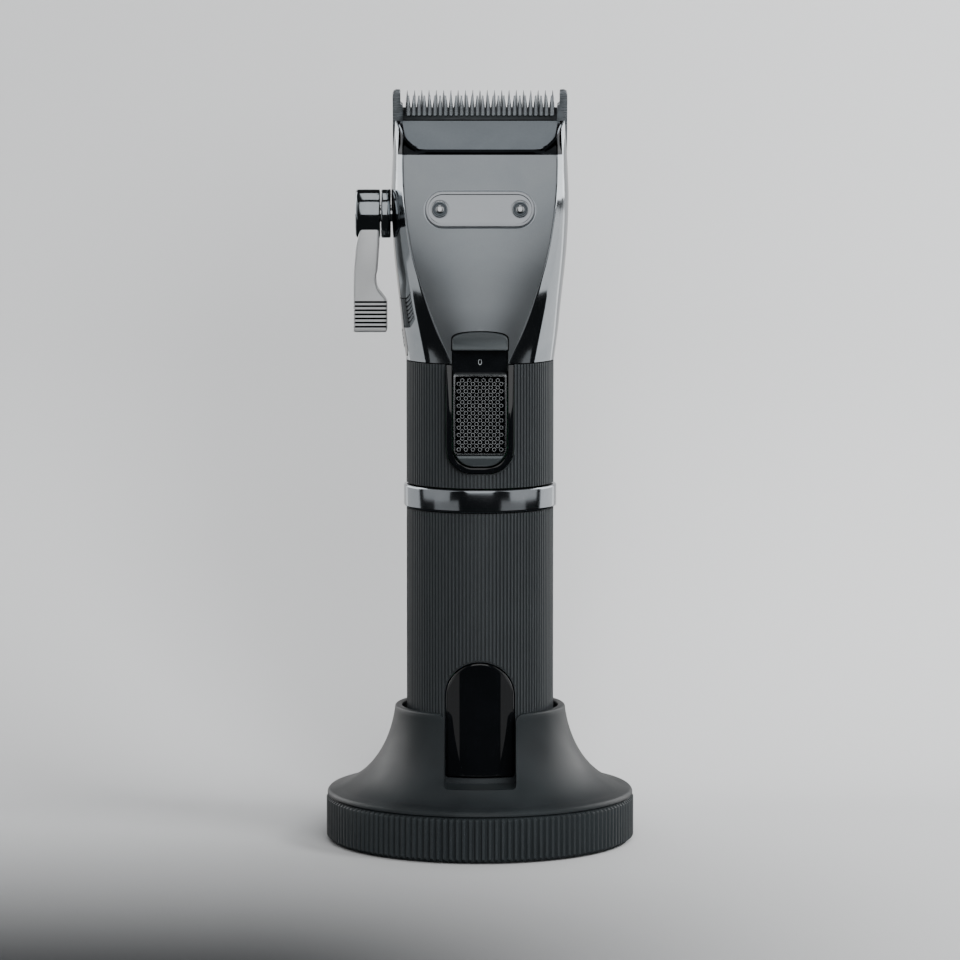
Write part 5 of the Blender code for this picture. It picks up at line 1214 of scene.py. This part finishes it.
def makeLever():
    z, radius, bore = lever["z"], lever["radius"], lever["bore"]
    near, far = lever["collarIn"], lever["collarOut"]
    profile = [(bore, near), (radius - 0.2, near), (radius, near + 0.2), (radius, far - 0.35),
               (radius - 0.1, far - 0.1), (radius - 0.35, far), (bore, far)]
    collar = makeObject("leverCollar", alongX(profile, 96, z), ["blackNickelPlate"], 50)
    show(collar, "clipper", "dark_chrome", "lever_collar")

    near, far = lever["hubIn"], lever["hubOut"]
    profile = [(0, near), (radius - 0.3, near), (radius - 0.08, near + 0.1), (radius, near + 0.35),
               (radius, far - 0.7), (radius - 0.15, far - 0.35), (radius - 0.5, far - 0.1),
               (radius - 0.9, far), (0, far)]
    hub = makeObject("leverHub", alongX(profile, 96, z), ["blackNickelPlate"], 50)
    carve(hub, [rod((-(near - 1), 0, z), (-(far - 3.5), 0, z), bore, 32),
                rod((-(far + 1), 0, z), (-(far - 1.6), 0, z), 3.2, 40)])
    show(hub, "lever", "satin_silver", "taper_lever")

    low, out, inn, tabIn, tab = (lever[k] for k in ("armLow", "armOut", "armIn", "tabIn", "tab"))
    outline = [
        (-far + 0.45, z - radius - 0.4), (-far + 0.1, z - radius - 2.5), (-out + 0.15, z - 14),
        (-out, z - 19), (-out, low), (-tabIn, low), (-tabIn, low + tab - 0.9), (-tabIn - 0.5, low + tab),
        (-inn + 0.3, low + tab + 2.6), (-inn - 0.05, low + tab + 4.2), (-inn - 0.1, low + tab + 6),
        (-inn + 0.25, z - 15), (-near - 0.25, z - radius - 1.2), (-near - 0.25, z - radius / 2),
        (-far + 1.6, z - radius / 2),
    ]
    arm = makeObject("leverArm", prism(outline, -lever["depth"], lever["depth"], frontView),
                     ["satinSilver"])
    soften(arm, 0.55, 4, 50)
    pitch = (tab - 1.2) / lever["grooves"]
    grooves, groove = [], lever["groove"]
    for number in range(lever["grooves"]):
        middle = low + 0.95 + pitch * (number + 0.5)
        for y0, y1 in ((-7, -3.7), (3.7, 7)):
            grooves.append(block((-(out + 1), y0, (middle - groove)),
                                 (-(tabIn - 1), y1, (middle + groove))))
        grooves.append(block((-(out + 1), -7, (middle - groove)),
                             (-(out - 1.2), 7, (middle + groove))))
    carve(arm, grooves, sharp=32)
    show(arm, "lever", "satin_silver")
    # painted shade: a gloss-black block lies in each groove, a little below the metal, for the shade inside
    # it
    shadeBlock = block((-(out - 0.35), -4.6, -groove), (-(tabIn + 0.05), 4.6, groove))
    shadeBlock = hide(makeObject("grooveFill", shadeBlock))
    shadeBlocks = addRow(emptyPiece("leverGrooveFill"), shadeBlock, lever["grooves"], (0, 0, low + 0.95 + pitch / 2),
                   (0, 0, pitch), "glossAcrylic")
    show(shadeBlocks, "lever", "gloss_black")
    placeScrews("leverScrew", screwShape(lever["screw"], 1.2, 0.8), (-(far - 1.35), 0, z), (0, 0, 0),
                (0, -math.pi / 2, 0), "lever", ["lever_screw"])


makeLever()
print("taper lever made")

# Blades

comb = {"half": 23.1, "length": 30.0, "thick": 2.4, "teeth": 21, "pitch": 1.92, "tooth": 8.2,
        "heel": 2.1, "root": 1.25, "tip": 0.14, "tipDown": 0.65, "screwX": 9.5, "screwDown": 25.0,
        "toothDepths": (-1.5, 0.0, -0.35)}  # back, front and point
cutter = {"half": 20.3, "top": 1.5, "length": 13.5, "thick": 1.8, "teeth": 28, "tooth": 4.9, "gap": 0.3,
          "root": 1.36, "tip": 0.4}


def bladeView(x, down, front):
    y, z = bladePlace(down, front)
    return (x, y, z)


def toothShape(root, tip, length, low, high, point):  # a tapered tooth; low and high are its back and front
    shape = bmesh.new()
    rows, origin = [], Vector(bladeView(0, 0, 0))
    for down, width, front in ((length, root, high), (length * 0.55, root * 0.82, high),
                               (length * 0.18, root * 0.42, point + (high - point) * 0.45), (0, tip, point)):
        flat, shoulder = width * 0.45, low + (front - low) * 0.55
        row = [(-width / 2, low), (width / 2, low), (width / 2, shoulder), (flat / 2, front),
               (-flat / 2, front), (-width / 2, shoulder)]
        rows.append(addPoints(shape, [Vector(bladeView(x, down, f)) - origin for x, f in row]))
    return join(shape, rows)


def makeBlades():
    half, thick, teeth, pitch, tooth = (comb[k] for k in ("half", "thick", "teeth", "pitch", "tooth"))
    heelIn = half - comb["heel"]
    outline = [(-half, comb["length"]), (-half, 1.8), (-half + 0.25, 1.0), (-half + 0.9, 0.62),
               (-heelIn - 0.2, 0.66), (-heelIn, 1.0), (-heelIn, 4.0), (-heelIn + 0.6, 4.6),
               (-heelIn + 0.8, tooth - 0.2)]
    outline += [(-x, d) for x, d in reversed(outline)]
    plate = makeObject("combBlade", prism(outline, -thick, 0, bladeView), ["groundSteel"], 30)
    wedge = [bladePlace(-1, -0.5), bladePlace(tooth + 1.5, -thick - 0.1), bladePlace(-1, -thick - 1)]
    holes = [rod(bladeView(x, comb["screwDown"], -thick - 1), bladeView(x, comb["screwDown"], 1), 1.9, 32)
             for x in (-comb["screwX"], comb["screwX"])]
    carve(plate, [prism(wedge, -19.9, 19.9, sideView)] + holes, sharp=30)
    soften(plate, 0.12, 2, 50, 30)
    shape = hide(makeObject("combTooth", toothShape(comb["root"], comb["tip"], tooth, *comb["toothDepths"])))
    addRow(plate, shape, teeth, bladeView(-(teeth - 1) / 2 * pitch, comb["tipDown"], 0), (pitch, 0, 0),
           "groundSteel", 30)
    show(plate, "comb", "blade_steel", "comb_blade")

    half, top, length, thick, teeth, tooth, gap = (
        cutter[k] for k in ("half", "top", "length", "thick", "teeth", "tooth", "gap"))
    edge = top + tooth
    body = [bladePlace(edge - 1.7, gap), bladePlace(top + length, gap), bladePlace(top + length, gap + thick),
            bladePlace(edge + 1.2, gap + thick), bladePlace(edge - 0.4, gap + 0.7),
            bladePlace(edge - 1.7, gap + 0.5)]
    # the cutter's body takes the near-black painted-shade steel
    blade = makeObject("cutterBlade", prism(body, -half, half, sideView),
                       ["oxideSteel"], 30)
    soften(blade, 0.12, 2, 50, 30)
    show(blade, "cutter", "blade_steel", "cutter_blade")
    pitch = (2 * half - 1.4) / teeth
    shape = toothShape(cutter["root"], cutter["tip"], tooth, gap, gap + thick + 0.1, gap + 0.7)
    shape = hide(makeObject("cutterTooth", shape))
    row = addRow(emptyPiece("cutterTeeth"), shape, teeth, bladeView(-pitch * (teeth - 1) / 2, top, 0),
                 (pitch, 0, 0), "groundSteel", 30)
    show(row, "cutter", "blade_steel")

    x, down = comb["screwX"], comb["screwDown"]
    placeScrews("bladeScrews", screwShape(3.2, 1.6, 1.0), bladeView(-x, down, -comb["thick"] - 0.3),
                (2 * x, 0, 0), (math.radians(-90 + blades["lean"]), 0, 0), "comb",
                ["blade_screw_left", "blade_screw_right"])


makeBlades()
print("blades made")

# What stays as the frame has it gets its finish here

kept = {
    "softTouchPlastic": ("base_plate", "cup_floor", "end_cap"),
    "footRubber": ("foot_ring",),
    "castSteel": ("ballast_ring",),
    "solderMask": ("charge_board", "display_board", "main_board"),
    "giltBrass": ("charge_pin_left", "charge_pin_right", "contact_left", "contact_right"),
    "glossAcrylic": ("dc_inlet", "switch_track", "micro_switch"),
    "brightSteel": ("inlet_pin", "motor_can", "cutter_spring", "lever_shaft", "blade_carrier",
                    "motor_shaft"),
    "mattGreyPlastic": ("chassis", "motor_cradle", "blade_rail_left", "blade_rail_right", "drive_fork",
                        "eccentric_cam"),
    "batteryWrap": ("battery_cell",),
}
for name, nodes in kept.items():
    for node in nodes:
        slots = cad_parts[node].data.materials
        if not len(slots):
            slots.append(finish[name])
        for i in range(len(slots)):
            slots[i] = finish[name]
print("frame pieces finished:", sum(len(nodes) for nodes in kept.values()))
